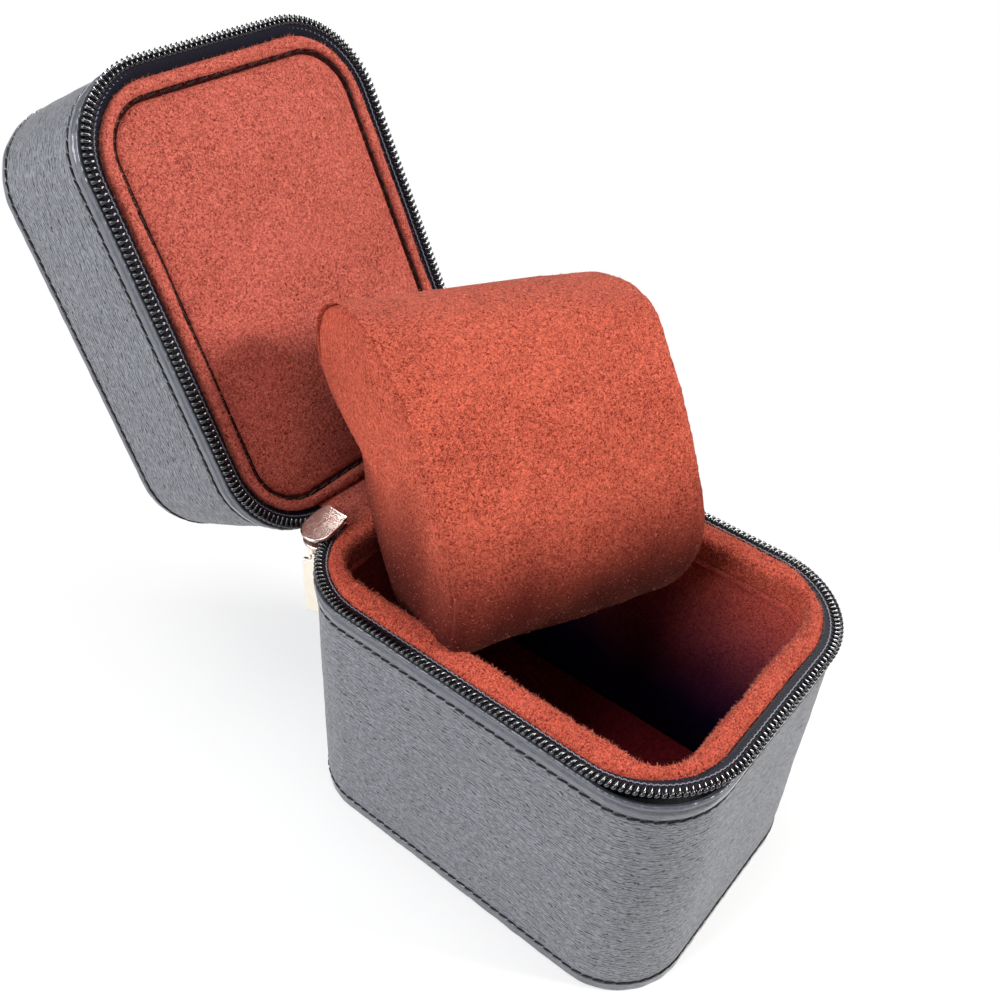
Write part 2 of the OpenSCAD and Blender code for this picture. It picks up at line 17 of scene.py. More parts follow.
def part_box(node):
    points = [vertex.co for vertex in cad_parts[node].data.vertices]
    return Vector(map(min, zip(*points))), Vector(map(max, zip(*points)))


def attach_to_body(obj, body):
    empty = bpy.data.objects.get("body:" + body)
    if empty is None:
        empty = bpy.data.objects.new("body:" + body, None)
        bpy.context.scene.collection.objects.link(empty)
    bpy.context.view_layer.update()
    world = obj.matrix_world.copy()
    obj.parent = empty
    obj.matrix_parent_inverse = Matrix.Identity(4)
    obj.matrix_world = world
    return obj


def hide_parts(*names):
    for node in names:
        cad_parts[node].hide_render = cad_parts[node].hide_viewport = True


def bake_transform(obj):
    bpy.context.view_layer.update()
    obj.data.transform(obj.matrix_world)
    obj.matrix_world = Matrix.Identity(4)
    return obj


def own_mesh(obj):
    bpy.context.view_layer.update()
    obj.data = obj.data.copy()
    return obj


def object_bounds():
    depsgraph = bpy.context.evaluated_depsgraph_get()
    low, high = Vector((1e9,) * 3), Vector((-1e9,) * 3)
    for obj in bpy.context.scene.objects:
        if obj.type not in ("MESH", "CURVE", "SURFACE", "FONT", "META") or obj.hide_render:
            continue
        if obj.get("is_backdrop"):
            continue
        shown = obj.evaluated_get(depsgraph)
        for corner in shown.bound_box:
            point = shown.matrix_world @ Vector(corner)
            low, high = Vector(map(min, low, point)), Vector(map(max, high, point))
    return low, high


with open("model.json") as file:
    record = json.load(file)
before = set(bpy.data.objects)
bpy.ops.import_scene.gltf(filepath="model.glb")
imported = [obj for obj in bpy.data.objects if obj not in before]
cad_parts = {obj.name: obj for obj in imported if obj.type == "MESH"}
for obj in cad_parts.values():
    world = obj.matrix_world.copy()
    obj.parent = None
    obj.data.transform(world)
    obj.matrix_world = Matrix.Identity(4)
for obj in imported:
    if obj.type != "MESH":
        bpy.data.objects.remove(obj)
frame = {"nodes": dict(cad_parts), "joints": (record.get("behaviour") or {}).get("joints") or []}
cad_box = [list(corner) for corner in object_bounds()]
print("nodes", len(frame["nodes"]), "box", cad_box)

# %% [markdown]
# ## Sizes
# All shapes below are worked out in millimetres, because leather, thread and zips are bought in
# millimetres. One factor turns them into metres when a mesh is made. The driving sizes are read
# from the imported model, so that the looks follow the construction.

# %% Driving sizes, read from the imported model
MM = 0.001


def span(node):
    """The lowest and highest corner of a node, in millimetres."""
    low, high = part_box(node)
    return np.array(low) / MM, np.array(high) / MM


joints = {joint["name"]: joint for joint in frame["joints"]}
HALF_W, HALF_D = span("base_wrap")[1][:2]
CASE_R = 17.6
LEATHER_T = 0.8
HINGE_Y, HINGE_Z = np.array(joints["lid_hinge"]["pos_m"][1:]) / MM
LID_OPEN = np.radians(joints["lid_hinge"]["range_deg"][1])

BAND_TOP, EDGE_ROOT = span("base_wrap")[0][2], span("base_wrap")[1][2]
EDGE_LIP = span("base_turned_edge")[1][2]
EDGE_PROUD = span("base_turned_edge")[1][0] - HALF_W
COIL_LOW, COIL_HIGH = span("base_zip_coil")[0][2], span("base_zip_coil")[1][2]
COIL_OUT = span("base_zip_coil")[1][0] - HALF_W
COIL_W = 2.0
RIM_LOW, RIM_HIGH = span("base_rim_pad")[0][2], span("base_rim_pad")[1][2]
BASE_H = RIM_HIGH + 0.5
ZIP_R = 21.1
ZIP_INSET = 1.3
WELL_INSET, WELL_R = 7.3, 8.2
WELL_FLOOR = span("base_floor_pad")[0][2]

LID_COIL_LOW = BASE_H + 1.2
LID_COIL_HIGH = LID_COIL_LOW + COIL_HIGH - COIL_LOW
LID_EDGE_LIP = LID_COIL_HIGH + 0.2
LID_EDGE_ROOT = LID_EDGE_LIP + EDGE_LIP - EDGE_ROOT
LID_TOP = BASE_H + 39.7
LID_BAND = LID_TOP - 2.1
LID_RIM = BASE_H + 1.1
LID_RIM_INSET = 3.3
LID_ZIP_R = 19.1
GROOVE_INSET, GROOVE_W, PANEL_R = 5.9, 0.8, 11.5
print("half width", HALF_W, "half depth", HALF_D, "base", BASE_H, "lid opens", np.degrees(LID_OPEN))

# %% [markdown]
# ## Camera
# The camera stands in front of the case at its left, and looks down at about forty degrees, a
# little rolled. Its place was worked out from the outlines of the rounded base and lid. It comes
# first, so that every later step can be looked at from the right side.

# %% Camera
CAMERA_PLACE = Vector((-149.881, -88.683, 233.402)) * MM
AZIMUTH, ELEVATION, ROLL = np.radians([53.763, 39.432, 3.973])
FRAME_PX, FOCUS_PX, SENSOR_MM = 1000, 1123.33, 36.0


def camera_axes(azimuth, elevation, roll):
    """Right, up and backward directions of a camera that looks along azimuth, tipped down."""
    ahead = Vector((np.sin(azimuth) * np.cos(elevation), np.cos(azimuth) * np.cos(elevation),
                    -np.sin(elevation)))
    level = Vector((np.cos(azimuth), -np.sin(azimuth), 0))
    rise = level.cross(ahead)
    right = np.cos(roll) * level + np.sin(roll) * rise
    up = np.cos(roll) * rise - np.sin(roll) * level
    return right, up, -ahead


camera_data = bpy.data.cameras.new("camera")
camera_data.sensor_width = SENSOR_MM
camera_data.lens = FOCUS_PX * SENSOR_MM / FRAME_PX
camera_data.clip_start = 0.01
camera = bpy.data.objects.new("camera", camera_data)
camera.matrix_world = (Matrix.Translation(CAMERA_PLACE)
                       @ Matrix(camera_axes(AZIMUTH, ELEVATION, ROLL)).transposed().to_4x4())
bpy.context.scene.collection.objects.link(camera)
bpy.context.scene.camera = camera
print("camera lens", round(camera_data.lens, 2))

# %% [markdown]
# ## Node helpers
# The floor, the world and every finish are networks of nodes. A finish that many pieces share is a
# node group with named inputs and outputs, like a tin of paint that is mixed once. These helpers
# keep each network short: one feeds a socket, one adds a node with its settings, and one opens a
# new group.

# %% Node helpers
def feed(tree, socket, value):
    """Sets a socket to a number or a colour, or joins it to the socket given as its value."""
    if isinstance(value, bpy.types.NodeSocket):
        tree.links.new(value, socket)
    else:
        socket.default_value = value


def add(tree, kind, **settings):
    """A new node of that kind. A setting is an attribute, or an input socket by its name."""
    node = tree.nodes.new("ShaderNode" + kind)
    for name, value in settings.items():
        if hasattr(node, name):
            setattr(node, name, value)
        else:
            feed(tree, node.inputs[name.replace("_", " ")], value)
    return node


def combine(tree, operation, first, second=0.0):
    """The result of a Math node. Each of its two inputs is a socket or a number."""
    node = add(tree, "Math", operation=operation)
    feed(tree, node.inputs[0], first)
    feed(tree, node.inputs[1], second)
    return node.outputs[0]


def times(tree, first, second):
    """The product of two sockets, or of a socket and a number."""
    return combine(tree, "MULTIPLY", first, second)


def plus(tree, first, second):
    """The sum of two sockets, or of a socket and a number."""
    return combine(tree, "ADD", first, second)


def mix_colour(tree, factor, first, second):
    """A Mix node for colours. Each input is a socket, a number or a colour."""
    node = add(tree, "Mix", data_type="RGBA")
    for place, value in ((0, factor), (6, first), (7, second)):
        feed(tree, node.inputs[place], value)
    return node.outputs[2]


def mix_shaders(tree, factor, first, second, end):
    """Sends a mix of two shaders to the surface of the output node."""
    mix = add(tree, "MixShader", Fac=factor)
    feed(tree, mix.inputs[1], first.outputs[0])
    feed(tree, mix.inputs[2], second.outputs[0])
    feed(tree, end.inputs["Surface"], mix.outputs[0])


def stretch(tree, value, low, high, new_low=0.0, new_high=1.0, **settings):
    """Maps low..high to new_low..new_high and cuts off what lies beyond."""
    node = add(tree, "MapRange", Value=value, From_Min=low, From_Max=high, To_Min=new_low,
               To_Max=new_high, **settings)
    return node.outputs["Result"]


def noise(tree, vector, scale, detail=2.0, rough=0.5, distortion=0.0):
    """The value of a noise texture. Its scale is about the number of spots in a metre."""
    node = add(tree, "TexNoise", Vector=vector, Scale=scale, Detail=detail, Roughness=rough,
               Distortion=distortion)
    return node.outputs["Fac"]


def open_group(name, inputs, outputs):
    """A new shader group with named sockets. Returns its tree, its inputs and its output node."""
    tree = bpy.data.node_groups.new(name, "ShaderNodeTree")
    for title, kind, value in inputs:
        socket = tree.interface.new_socket(title, in_out="INPUT", socket_type="NodeSocket" + kind)
        socket.default_value = value
    for title, kind in outputs:
        tree.interface.new_socket(title, in_out="OUTPUT", socket_type="NodeSocket" + kind)
    return tree, tree.nodes.new("NodeGroupInput").outputs, tree.nodes.new("NodeGroupOutput").inputs


# %% [markdown]
# ## Floor, world and lamps
# The case stands on a pale floor in plain studio light. A soft lamp in front at the right throws
# the cushion's shadow on the lid. One at the left, a little behind the case, lights the end of the
# cushion and the left walls, and a weak one hangs above. The world is seen as plain white, and it
# lights the case more weakly, so that the well stays dark and the black zip stays black. The floor
# glows too: far from the case as white as the world, so that no horizon shows, and near it by less
# than half, so that it still takes the shadow. A window above the back is only seen in what
# shines: it puts the white lights on the zip.

# %% Lamps
scene = bpy.context.scene
scene.view_settings.view_transform = "Standard"


def new_object(name, mesh):
    """Links a mesh to the scene as an object at the origin."""
    obj = bpy.data.objects.new(name, mesh)
    scene.collection.objects.link(obj)
    return obj


def soft_lamp(name, place, aim, size, power, colour):
    """A square lamp at place that shines at aim."""
    data = bpy.data.lights.new(name, "AREA")
    data.size = size
    data.energy = power
    data.color = colour
    lamp = bpy.data.objects.new(name, data)
    lamp.location = place
    lamp.rotation_euler = (Vector(aim) - Vector(place)).to_track_quat("-Z", "Y").to_euler()
    scene.collection.objects.link(lamp)
    return lamp


KEY_AIM = (0.0, 0.02, 0.07)
soft_lamp("key_lamp", (0.30, -0.50, 0.47), KEY_AIM, 0.20, 5.4, (1.0, 0.985, 0.96))
soft_lamp("left_lamp", (-0.56, 0.24, 0.42), KEY_AIM, 0.36, 4.8, (0.97, 0.98, 1.0))
soft_lamp("top_lamp", (-0.10, 0.02, 0.80), KEY_AIM, 0.40, 2.0, (1.0, 0.98, 0.96))
window = soft_lamp("window", (0.50, 0.36, 0.60), KEY_AIM, 0.42, 20.0, (1.0, 1.0, 1.0))
window.visible_diffuse = False
print("lamps", len(bpy.data.lights))

# %% World
WORLD_LIGHT = 0.22

world = bpy.data.worlds.new("studio")
scene.world = world
world.use_nodes = True
sky = world.node_tree
sky.nodes.clear()
paths = add(sky, "LightPath")
seen_by = combine(sky, "MAXIMUM", paths.outputs["Is Camera Ray"], paths.outputs["Is Transmission Ray"])
world_light = add(sky, "Background", Color=(0.95, 0.97, 1.0, 1), Strength=WORLD_LIGHT)
world_look = add(sky, "Background", Color=(1, 1, 1, 1), Strength=1.0)
mix_shaders(sky, seen_by, world_light, world_look, add(sky, "OutputWorld"))
print("world lights the case at", WORLD_LIGHT)

# %% Floor
FLOOR_HALF = 3.0
GLOW_FROM, GLOW_FULL, GLOW_NEAR = 0.06, 0.20, 0.45

floor_mesh = bpy.data.meshes.new("floor")
floor_corners = [(x * FLOOR_HALF, y * FLOOR_HALF, 0) for x, y in ((-1, -1), (1, -1), (1, 1), (-1, 1))]
floor_mesh.from_pydata(floor_corners, [], [(0, 1, 2, 3)])
floor = new_object("floor", floor_mesh)
floor_paper = bpy.data.materials.new("floor_paper")
floor_paper.use_nodes = True
paper = floor_paper.node_tree
paper_shader = paper.nodes["Principled BSDF"]
PAPER_LOOK = {"Base Color": (0.95, 0.95, 0.95, 1), "Roughness": 0.9, "Specular IOR Level": 0.1}
for title, value in PAPER_LOOK.items():
    feed(paper, paper_shader.inputs[title], value)
distance = add(paper, "VectorMath", operation="LENGTH")
feed(paper, distance.inputs[0], add(paper, "TexCoord").outputs["Object"])
glow_share = stretch(paper, distance.outputs["Value"], GLOW_FROM, GLOW_FULL, GLOW_NEAR,
                     interpolation_type="SMOOTHSTEP")
mix_shaders(paper, glow_share, paper_shader, add(paper, "Emission"), paper.nodes["Material Output"])
floor_mesh.materials.append(floor_paper)
floor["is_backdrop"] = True
print("floor reaches", FLOOR_HALF, "m each way")

# %% [markdown]
# ## Suede
# Suede is a nap of short fibres. Close up it is mottled: tufts lean their own way and catch or
# lose the light, and the hand leaves paler and darker strokes. So the colour runs from a dark root
# to a pale tip along a mix of three noises: fibres, tufts and strokes. Fibres and tufts also lift
# the surface. The soft rim light of the fibres is the shader's sheen, set in the material.

# %% Suede group
def make_suede_group():
    """Nap is fibres plus tufts. Its shade is the nap, stretched and shifted by wide strokes."""
    tree, given, out = open_group(
        "suede_nap",
        [("Vector", "Vector", (0, 0, 0)), ("Root", "Color", (0.2, 0.03, 0.02, 1)),
         ("Tip", "Color", (0.5, 0.1, 0.06, 1)), ("Stroke", "Float", 0.3)],
        [("Color", "Color"), ("Height", "Float"), ("Roughness", "Float")])
    fibre = noise(tree, given["Vector"], 2150.0, 2.0, 0.6, 1.4)
    tuft = noise(tree, given["Vector"], 1000.0, 2.0, 0.6, 2.2)
    stroke = noise(tree, given["Vector"], 48.0, 3.0, 0.55, 0.8)
    nap_height = plus(tree, times(tree, fibre, 0.68), times(tree, tuft, 0.32))
    lean = times(tree, combine(tree, "SUBTRACT", stroke, 0.5), given["Stroke"])
    shade = plus(tree, stretch(tree, nap_height, 0.37, 0.60), lean)
    feed(tree, out["Color"], mix_colour(tree, shade, given["Root"], given["Tip"]))
    feed(tree, out["Height"], nap_height)
    feed(tree, out["Roughness"], stretch(tree, nap_height, 0.3, 0.7, 1.0, 0.82))
    return tree


suede_group = make_suede_group()
print("suede group", len(suede_group.nodes), "nodes")

# %% [markdown]
# ## Leather
# The leather is a smooth hide with an embossed grain: short, nearly level creases about 0.8 mm
# apart that run into each other, with fine pores between them. The creases are the crests of a
# sine wave up the wall, whose phase wanders with a noise, and a second noise breaks them up.
# Voronoi cells add the pebbles between them. The creases are dark, and the pebbles are paler and
# glossier. On a wall the vector is its own UV in metres: along, then up.

# %% Leather group
CREASE_PITCH = 0.82
CREASE_STRETCH, CREASE_TILT = (0.62, 1.0, 1.0), (0.0, 0.0, 0.10)


def make_leather_group():
    """Crease is the crest of a wandering sine, broken up, or the edge of a cell. Pebble is the rest."""
    tree, given, out = open_group(
        "leather_grain",
        [("Vector", "Vector", (0, 0, 0)), ("Crease", "Color", (0.02, 0.02, 0.025, 1)),
         ("Pebble", "Color", (0.1, 0.1, 0.11, 1)), ("Depth", "Float", 1.0)],
        [("Color", "Color"), ("Height", "Float"), ("Roughness", "Float")])
    pulled = add(tree, "Mapping", Vector=given["Vector"], Scale=CREASE_STRETCH,
                 Rotation=CREASE_TILT).outputs[0]
    level = add(tree, "SeparateXYZ", Vector=pulled).outputs["Y"]
    wander = times(tree, noise(tree, pulled, 560.0, 2.0, 0.5, 0.5), 16.0)
    shiver = times(tree, noise(tree, pulled, 1400.0, 2.0, 0.6), 4.5)
    rows = times(tree, level, 2 * np.pi / (CREASE_PITCH * MM))
    wave = combine(tree, "SINE", plus(tree, rows, plus(tree, wander, shiver)))
    broken = stretch(tree, noise(tree, pulled, 800.0, 2.0, 0.55), 0.36, 0.50)
    line = times(tree, stretch(tree, wave, 0.40, 0.88), broken)
    cells = add(tree, "TexVoronoi", feature="DISTANCE_TO_EDGE", Vector=pulled, Scale=1150.0)
    net = stretch(tree, cells.outputs["Distance"], 0.0, 0.25)
    fine = noise(tree, given["Vector"], 3000.0, 2.0, 0.6)
    cloud = noise(tree, given["Vector"], 70.0, 2.0, 0.5)
    shallow = times(tree, combine(tree, "SUBTRACT", 1.0, net), 0.40)
    crease = times(tree, combine(tree, "MAXIMUM", line, shallow), given["Depth"])
    pebble = combine(tree, "SUBTRACT", 1.0, crease)
    tone = times(tree, pebble, stretch(tree, fine, 0.2, 0.8, 0.80, 1.0))
    tone = times(tree, tone, stretch(tree, cloud, 0.3, 0.7, 0.92, 1.0))
    feed(tree, out["Color"], mix_colour(tree, tone, given["Crease"], given["Pebble"]))
    feed(tree, out["Height"], plus(tree, pebble, times(tree, fine, 0.35)))
    feed(tree, out["Roughness"], stretch(tree, tone, 0.0, 1.0, 0.62, 0.36))
    return tree


leather_group = make_leather_group()
print("leather group", len(leather_group.nodes), "nodes")

# %% [markdown]
# ## Thread, tape and metal
# Sewing thread is a twist of plies, so its group makes slanting bands from the piece's own UV,
# where u runs along the thread. The zip tape is a herringbone of fine ribs on the same UV in
# millimetres. Metal that is handled every day gets faint smudges and rub marks.

# %% Thread, tape and metal groups
def make_band_group(name, along, across, slant):
    """Bands on a UV in millimetres: a wave along u whose phase moves with v by slant."""
    tree, given, out = open_group(
        name, [("Vector", "Vector", (0, 0, 0)), ("Valley", "Color", (0, 0, 0, 1)),
               ("Ridge", "Color", (0.02, 0.02, 0.02, 1))],
        [("Color", "Color"), ("Height", "Float")])
    parts = add(tree, "SeparateXYZ", Vector=given["Vector"])
    side = combine(tree, "PINGPONG", parts.outputs["Y"], across)
    phase = plus(tree, times(tree, parts.outputs["X"], 2 * np.pi / along),
                 times(tree, side, slant * 2 * np.pi / along))
    wave = stretch(tree, combine(tree, "SINE", phase), -1.0, 1.0)
    feed(tree, out["Color"], mix_colour(tree, wave, given["Valley"], given["Ridge"]))
    feed(tree, out["Height"], wave)
    return tree


def make_handled_group():
    """Broad smudges darken and dull the metal, and rub marks drawn out along z roughen it."""
    tree, given, out = open_group(
        "handled_metal", [("Vector", "Vector", (0, 0, 0)), ("Metal", "Color", (0.8, 0.8, 0.8, 1)),
                          ("Smudge", "Color", (0.45, 0.40, 0.36, 1)), ("Rough", "Float", 0.15)],
        [("Color", "Color"), ("Roughness", "Float"), ("Height", "Float")])
    smudge = noise(tree, given["Vector"], 420.0, 4.0, 0.6, 0.4)
    lines = add(tree, "Mapping", Vector=given["Vector"], Scale=(1.0, 1.0, 14.0))
    rub = noise(tree, lines.outputs[0], 900.0, 3.0, 0.7)
    dull = times(tree, stretch(tree, smudge, 0.35, 0.75), 0.12)
    rough = plus(tree, plus(tree, given["Rough"], dull), times(tree, rub, 0.06))
    grime = stretch(tree, smudge, 0.3, 0.8, 0.0, 0.18)
    feed(tree, out["Color"], mix_colour(tree, grime, given["Metal"], given["Smudge"]))
    feed(tree, out["Roughness"], rough)
    feed(tree, out["Height"], plus(tree, smudge, times(tree, rub, 0.4)))
    return tree


thread_group = make_band_group("thread_twist", 0.45, 1.0, 0.7)
tape_group = make_band_group("tape_weave", 0.55, 0.5, 0.9)
metal_group = make_handled_group()
print("thread, tape and metal groups are made")

# %% [markdown]
# ## Materials
# Each material holds its own Principled shader. The group gives colour, roughness and height, and
# numbers that are the same all over, such as sheen and coat, are set on the shader's own sockets.
# Each row of the tables below is one finish, with its colours as screen values from 0 to 255.

# %% Material helpers
def srgb(red, green, blue):
    """A colour given as 0 to 255 screen values, as the linear colour that Blender mixes."""
    screen = np.array([red, green, blue]) / 255
    linear = np.where(screen <= 0.04045, screen / 12.92, ((screen + 0.055) / 1.055) ** 2.4)
    return (*[float(value) for value in linear], 1.0)


def feed_all(tree, node, values):
    """Feeds a node's sockets by name. Three numbers are a screen colour."""
    for title, value in values.items():
        feed(tree, node.inputs[title], srgb(*value) if isinstance(value, tuple) else value)


def make_finish(name, group, settings, coordinates, bump, bump_mm, sockets):
    """A Principled material fed by a group. coordinates is Object, UV or UV in metres."""
    material = bpy.data.materials.new(name)
    material.use_nodes = True
    tree = material.node_tree
    shader = tree.nodes["Principled BSDF"]
    vector = add(tree, "TexCoord").outputs[coordinates.split()[0]]
    if coordinates == "UV in metres":
        vector = add(tree, "Mapping", Vector=vector, Scale=(MM, MM, MM)).outputs[0]
    mixed = add(tree, "Group", node_tree=group)
    feed_all(tree, mixed, {"Vector": vector, **settings})
    relief = add(tree, "Bump", Strength=bump, Distance=bump_mm * MM, Height=mixed.outputs["Height"])
    feed_all(tree, shader, {"Base Color": mixed.outputs["Color"], "Normal": relief.outputs["Normal"],
                            **sockets})
    if "Roughness" in mixed.outputs:
        feed(tree, shader.inputs["Roughness"], mixed.outputs["Roughness"])
    return material


# %% Suedes, board and foam
BRUSHED = {"Sheen Weight": 0.12, "Sheen Roughness": 0.45, "Sheen Tint": (255, 165, 140),
           "Specular IOR Level": 0.04}
DULL = {"Specular IOR Level": 0.02}
NAPPED = {
    "suede_lining": ((104, 34, 28), (214, 112, 96), 0.4, 0.9, 0.5, BRUSHED),
    "suede_rim": ((92, 22, 14), (214, 98, 78), 0.4, 0.9, 0.5, BRUSHED),
    "suede_cushion": ((98, 28, 20), (208, 100, 78), 0.4, 0.9, 0.5, BRUSHED),
    "suede_fibre": ((176, 68, 48), (232, 134, 104), 0.2, 0.2, 0.1,
                    {"Sheen Weight": 0.2, "Specular IOR Level": 0.1}),
    # A near-black copy of the suede for the bottom of the lid's groove: painted shade in the recess.
    "suede_groove_shaded": ((16, 6, 8), (66, 22, 20), 0.2, 0.6, 0.3, {"Specular IOR Level": 0.04}),
    "suede_well": ((120, 36, 30), (206, 96, 84), 0.4, 0.9, 0.5, DULL),
    # The floor pad's suede is a darker, bluish copy of the lining: painted shade down in the well.
    "suede_floor_shaded": ((70, 14, 22), (146, 42, 52), 0.4, 0.9, 0.5, DULL),
    "board": ((22, 20, 22), (44, 42, 44), 0.1, 0.3, 0.1, {}),
    "foam": ((176, 168, 148), (212, 206, 190), 0.1, 0.5, 0.3, {}),
}
finishes = {}
for name, (root, tip, stroke, bump, bump_mm, sockets) in NAPPED.items():
    finishes[name] = make_finish(name, suede_group, {"Root": root, "Tip": tip, "Stroke": stroke},
                                 "Object", bump, bump_mm, sockets)
print("napped finishes", len(finishes))

# %% Leather, thread, tape and metal
GRAIN = {"Crease": (24, 26, 32), "Pebble": (128, 130, 137), "Depth": 1.0}
GLOSS = {"Specular IOR Level": 0.6, "Sheen Weight": 0.05, "Sheen Roughness": 0.4}
for row in (
        ("leather_body", leather_group, GRAIN, "UV in metres", 0.9, 0.16, GLOSS),
        ("leather_flat", leather_group, GRAIN, "Object", 0.9, 0.16, GLOSS),
        ("leather_trim", leather_group, {"Crease": (26, 28, 36), "Pebble": (80, 82, 93), "Depth": 0.6},
         "UV in metres", 0.7, 0.12,
         {"Specular IOR Level": 0.6, "Coat Weight": 0.8, "Coat Roughness": 0.16}),
        ("thread", thread_group, {"Valley": (4, 4, 6), "Ridge": (16, 16, 20)},
         "UV", 0.8, 0.08, {"Roughness": 0.34, "Specular IOR Level": 0.35}),
        ("zip_tape", tape_group, {"Valley": (5, 6, 14), "Ridge": (26, 28, 46)},
         "UV", 0.9, 0.15, {"Roughness": 0.7, "Specular IOR Level": 0.2}),
        # The chain thread's pale grey is partly a painted highlight of the tape's edge.
        ("chain_thread_highlight", thread_group, {"Valley": (50, 52, 62), "Ridge": (150, 152, 164)},
         "UV", 0.8, 0.08, {"Roughness": 0.5, "Specular IOR Level": 0.4}),
        ("zip_coil", metal_group, {"Metal": (12, 12, 16), "Smudge": (24, 24, 29), "Rough": 0.10},
         "Object", 0.2, 0.02, {"Metallic": 0.0, "Specular IOR Level": 1.0}),
        ("slider_metal", metal_group, {"Metal": (204, 184, 176), "Rough": 0.18},
         "Object", 0.2, 0.02, {"Metallic": 1.0}),
        ("pull_metal", metal_group, {"Metal": (250, 242, 226), "Rough": 0.26},
         "Object", 0.25, 0.02, {"Metallic": 1.0})):
    finishes[row[0]] = make_finish(*row)
print("finishes", len(finishes))

# %% [markdown]
# ## Darker with depth
# The well lies in its own shadow, and that shade is also painted into its suede: the colour turns
# dark and bluish with depth. The lower front of the cushion lies in shade, and that shade is painted
# into its colour in the same way. Both use one group of painted shade, which turns a colour towards
# a deep one from one height down to another.

# %% Depth group
# Heights between which shade is painted: on the cushion's foot, and down the well.
FOOT_LOW, FOOT_HIGH = 72.0, 99.0
WELL_DARK, WELL_LIT = 18.0, 62.0


def make_painted_shade_group():
    """Painted shade: the share of the deep colour falls from Low to High by a power, with a wavy border."""
    tree, given, out = open_group(
        "painted_depth_shade",
        [("Vector", "Vector", (0, 0, 0)), ("Color", "Color", (1, 1, 1, 1)),
         ("Deep", "Color", (0, 0, 0, 1)), ("Low", "Float", 0.0), ("High", "Float", 1.0)],
        [("Color", "Color")])
    wave = add(tree, "Mapping", Vector=given["Vector"], Scale=(1.0, 1.0, 0.35))
    height = add(tree, "SeparateXYZ", Vector=given["Vector"]).outputs["Z"]
    drift = times(tree, combine(tree, "SUBTRACT", noise(tree, wave.outputs[0], 60.0), 0.5), 0.02)
    level = stretch(tree, plus(tree, height, drift), given["Low"], given["High"])
    lit = combine(tree, "POWER", level, 1.3)
    feed(tree, out["Color"], mix_colour(tree, lit, given["Deep"], given["Color"]))
    return tree


painted_shade_group = make_painted_shade_group()


def paint_shade_with_depth(finish, low, high, deep):
    """Puts the painted shade group between the colour of a finish and its shader."""
    tree = finishes[finish].node_tree
    target = tree.nodes["Principled BSDF"].inputs["Base Color"]
    shade = add(tree, "Group", node_tree=painted_shade_group)
    feed_all(tree, shade, {"Vector": add(tree, "TexCoord").outputs["Object"],
                           "Color": target.links[0].from_socket, "Deep": deep,
                           "Low": low * MM, "High": high * MM})
    feed(tree, target, shade.outputs["Color"])


# Painted shade: the well's suede turns dark and bluish with depth, and the cushion's foot dark red.
paint_shade_with_depth("suede_well", WELL_DARK, WELL_LIT, (34, 18, 58))
paint_shade_with_depth("suede_cushion", FOOT_LOW, FOOT_HIGH, (62, 8, 10))
print("depth group", len(painted_shade_group.nodes), "nodes, materials", len(bpy.data.materials))

# %% [markdown]
# ## Surfaces from grids
# Nearly every piece here is a grid of points: one direction runs round the case or along a tube,
# the other round a profile. One function joins the grid into quads, another does so for many equal
# small grids at once, such as stitches. Poles and seams are closed by merging points that meet.

# %% Grid helpers
def grid_faces(rows, columns, wrap_rows, wrap_columns):
    """The corners of each quad of a grid as one array with four columns, and their grid places."""
    i = np.arange(rows if wrap_rows else rows - 1)[:, None]
    j = np.arange(columns if wrap_columns else columns - 1)[None, :]
    places = [(i, j), (i + 1, j), (i + 1, j + 1), (i, j + 1)]
    row, column = [np.stack([np.broadcast_to(place[k], (len(i), j.shape[1])) for place in places], -1)
                   for k in (0, 1)]
    row, column = row.reshape(-1, 4), column.reshape(-1, 4)
    return row % rows * columns + column % columns, row, column


def make_piece(name, points, faces, finish, uv):
    """An object of quads. points are in millimetres, and uv has one pair for each corner."""
    mesh = bpy.data.meshes.new(name)
    mesh.vertices.add(len(points))
    mesh.vertices.foreach_set("co", (points * MM).astype(np.float32).ravel())
    mesh.loops.add(faces.size)
    mesh.loops.foreach_set("vertex_index", faces.astype(np.int32).ravel())
    mesh.polygons.add(len(faces))
    mesh.polygons.foreach_set("loop_start", np.arange(0, faces.size, 4, dtype=np.int32))
    mesh.update(calc_edges=True)
    layer = mesh.uv_layers.new(name="run")
    layer.data.foreach_set("uv", uv.astype(np.float32).ravel())
    mesh.validate()
    mesh.materials.append(finishes[finish])
    close_up(mesh)
    obj = new_object(name, mesh)
    return obj


def close_up(mesh):
    """Merges points that meet, turns all faces outwards and shades them smooth."""
    work = bmesh.new()
    work.from_mesh(mesh)
    bmesh.ops.remove_doubles(work, verts=work.verts, dist=1e-7)
    bmesh.ops.recalc_face_normals(work, faces=work.faces)
    for face in work.faces:
        face.smooth = True
    work.to_mesh(mesh)
    work.free()


def attach(obj, body, *nodes):
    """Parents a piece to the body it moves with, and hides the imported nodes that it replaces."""
    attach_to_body(obj, body)
    if nodes:
        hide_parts(*nodes)
    return obj


def run_along(line):
    """The distance from the first point of a line to each of its points."""
    return np.r_[0, np.cumsum(np.linalg.norm(np.diff(line, axis=0), axis=1))]


def surface(name, points, finish, wrap_rows=False, wrap_columns=False, caps=False):
    """A piece from points[row, column]. Its UV is the distance along rows and columns in mm.
    caps closes both open ends of a tube by a last ring drawn to its middle."""
    if caps:
        ends = [np.broadcast_to(points[k].mean(0), points[k].shape)[None] for k in (0, -1)]
        points = np.concatenate([ends[0], points, ends[1]])
    rows, columns = points.shape[:2]
    faces, row, column = grid_faces(rows, columns, wrap_rows, wrap_columns)
    side, middle = points[:, 0], points[rows // 2]
    along = run_along(np.vstack([side, side[:1]]))
    across = run_along(np.vstack([middle, middle[:1]]))
    uv = np.stack([along[row], across[column]], -1)
    return make_piece(name, points.reshape(-1, 3), faces, finish, uv)


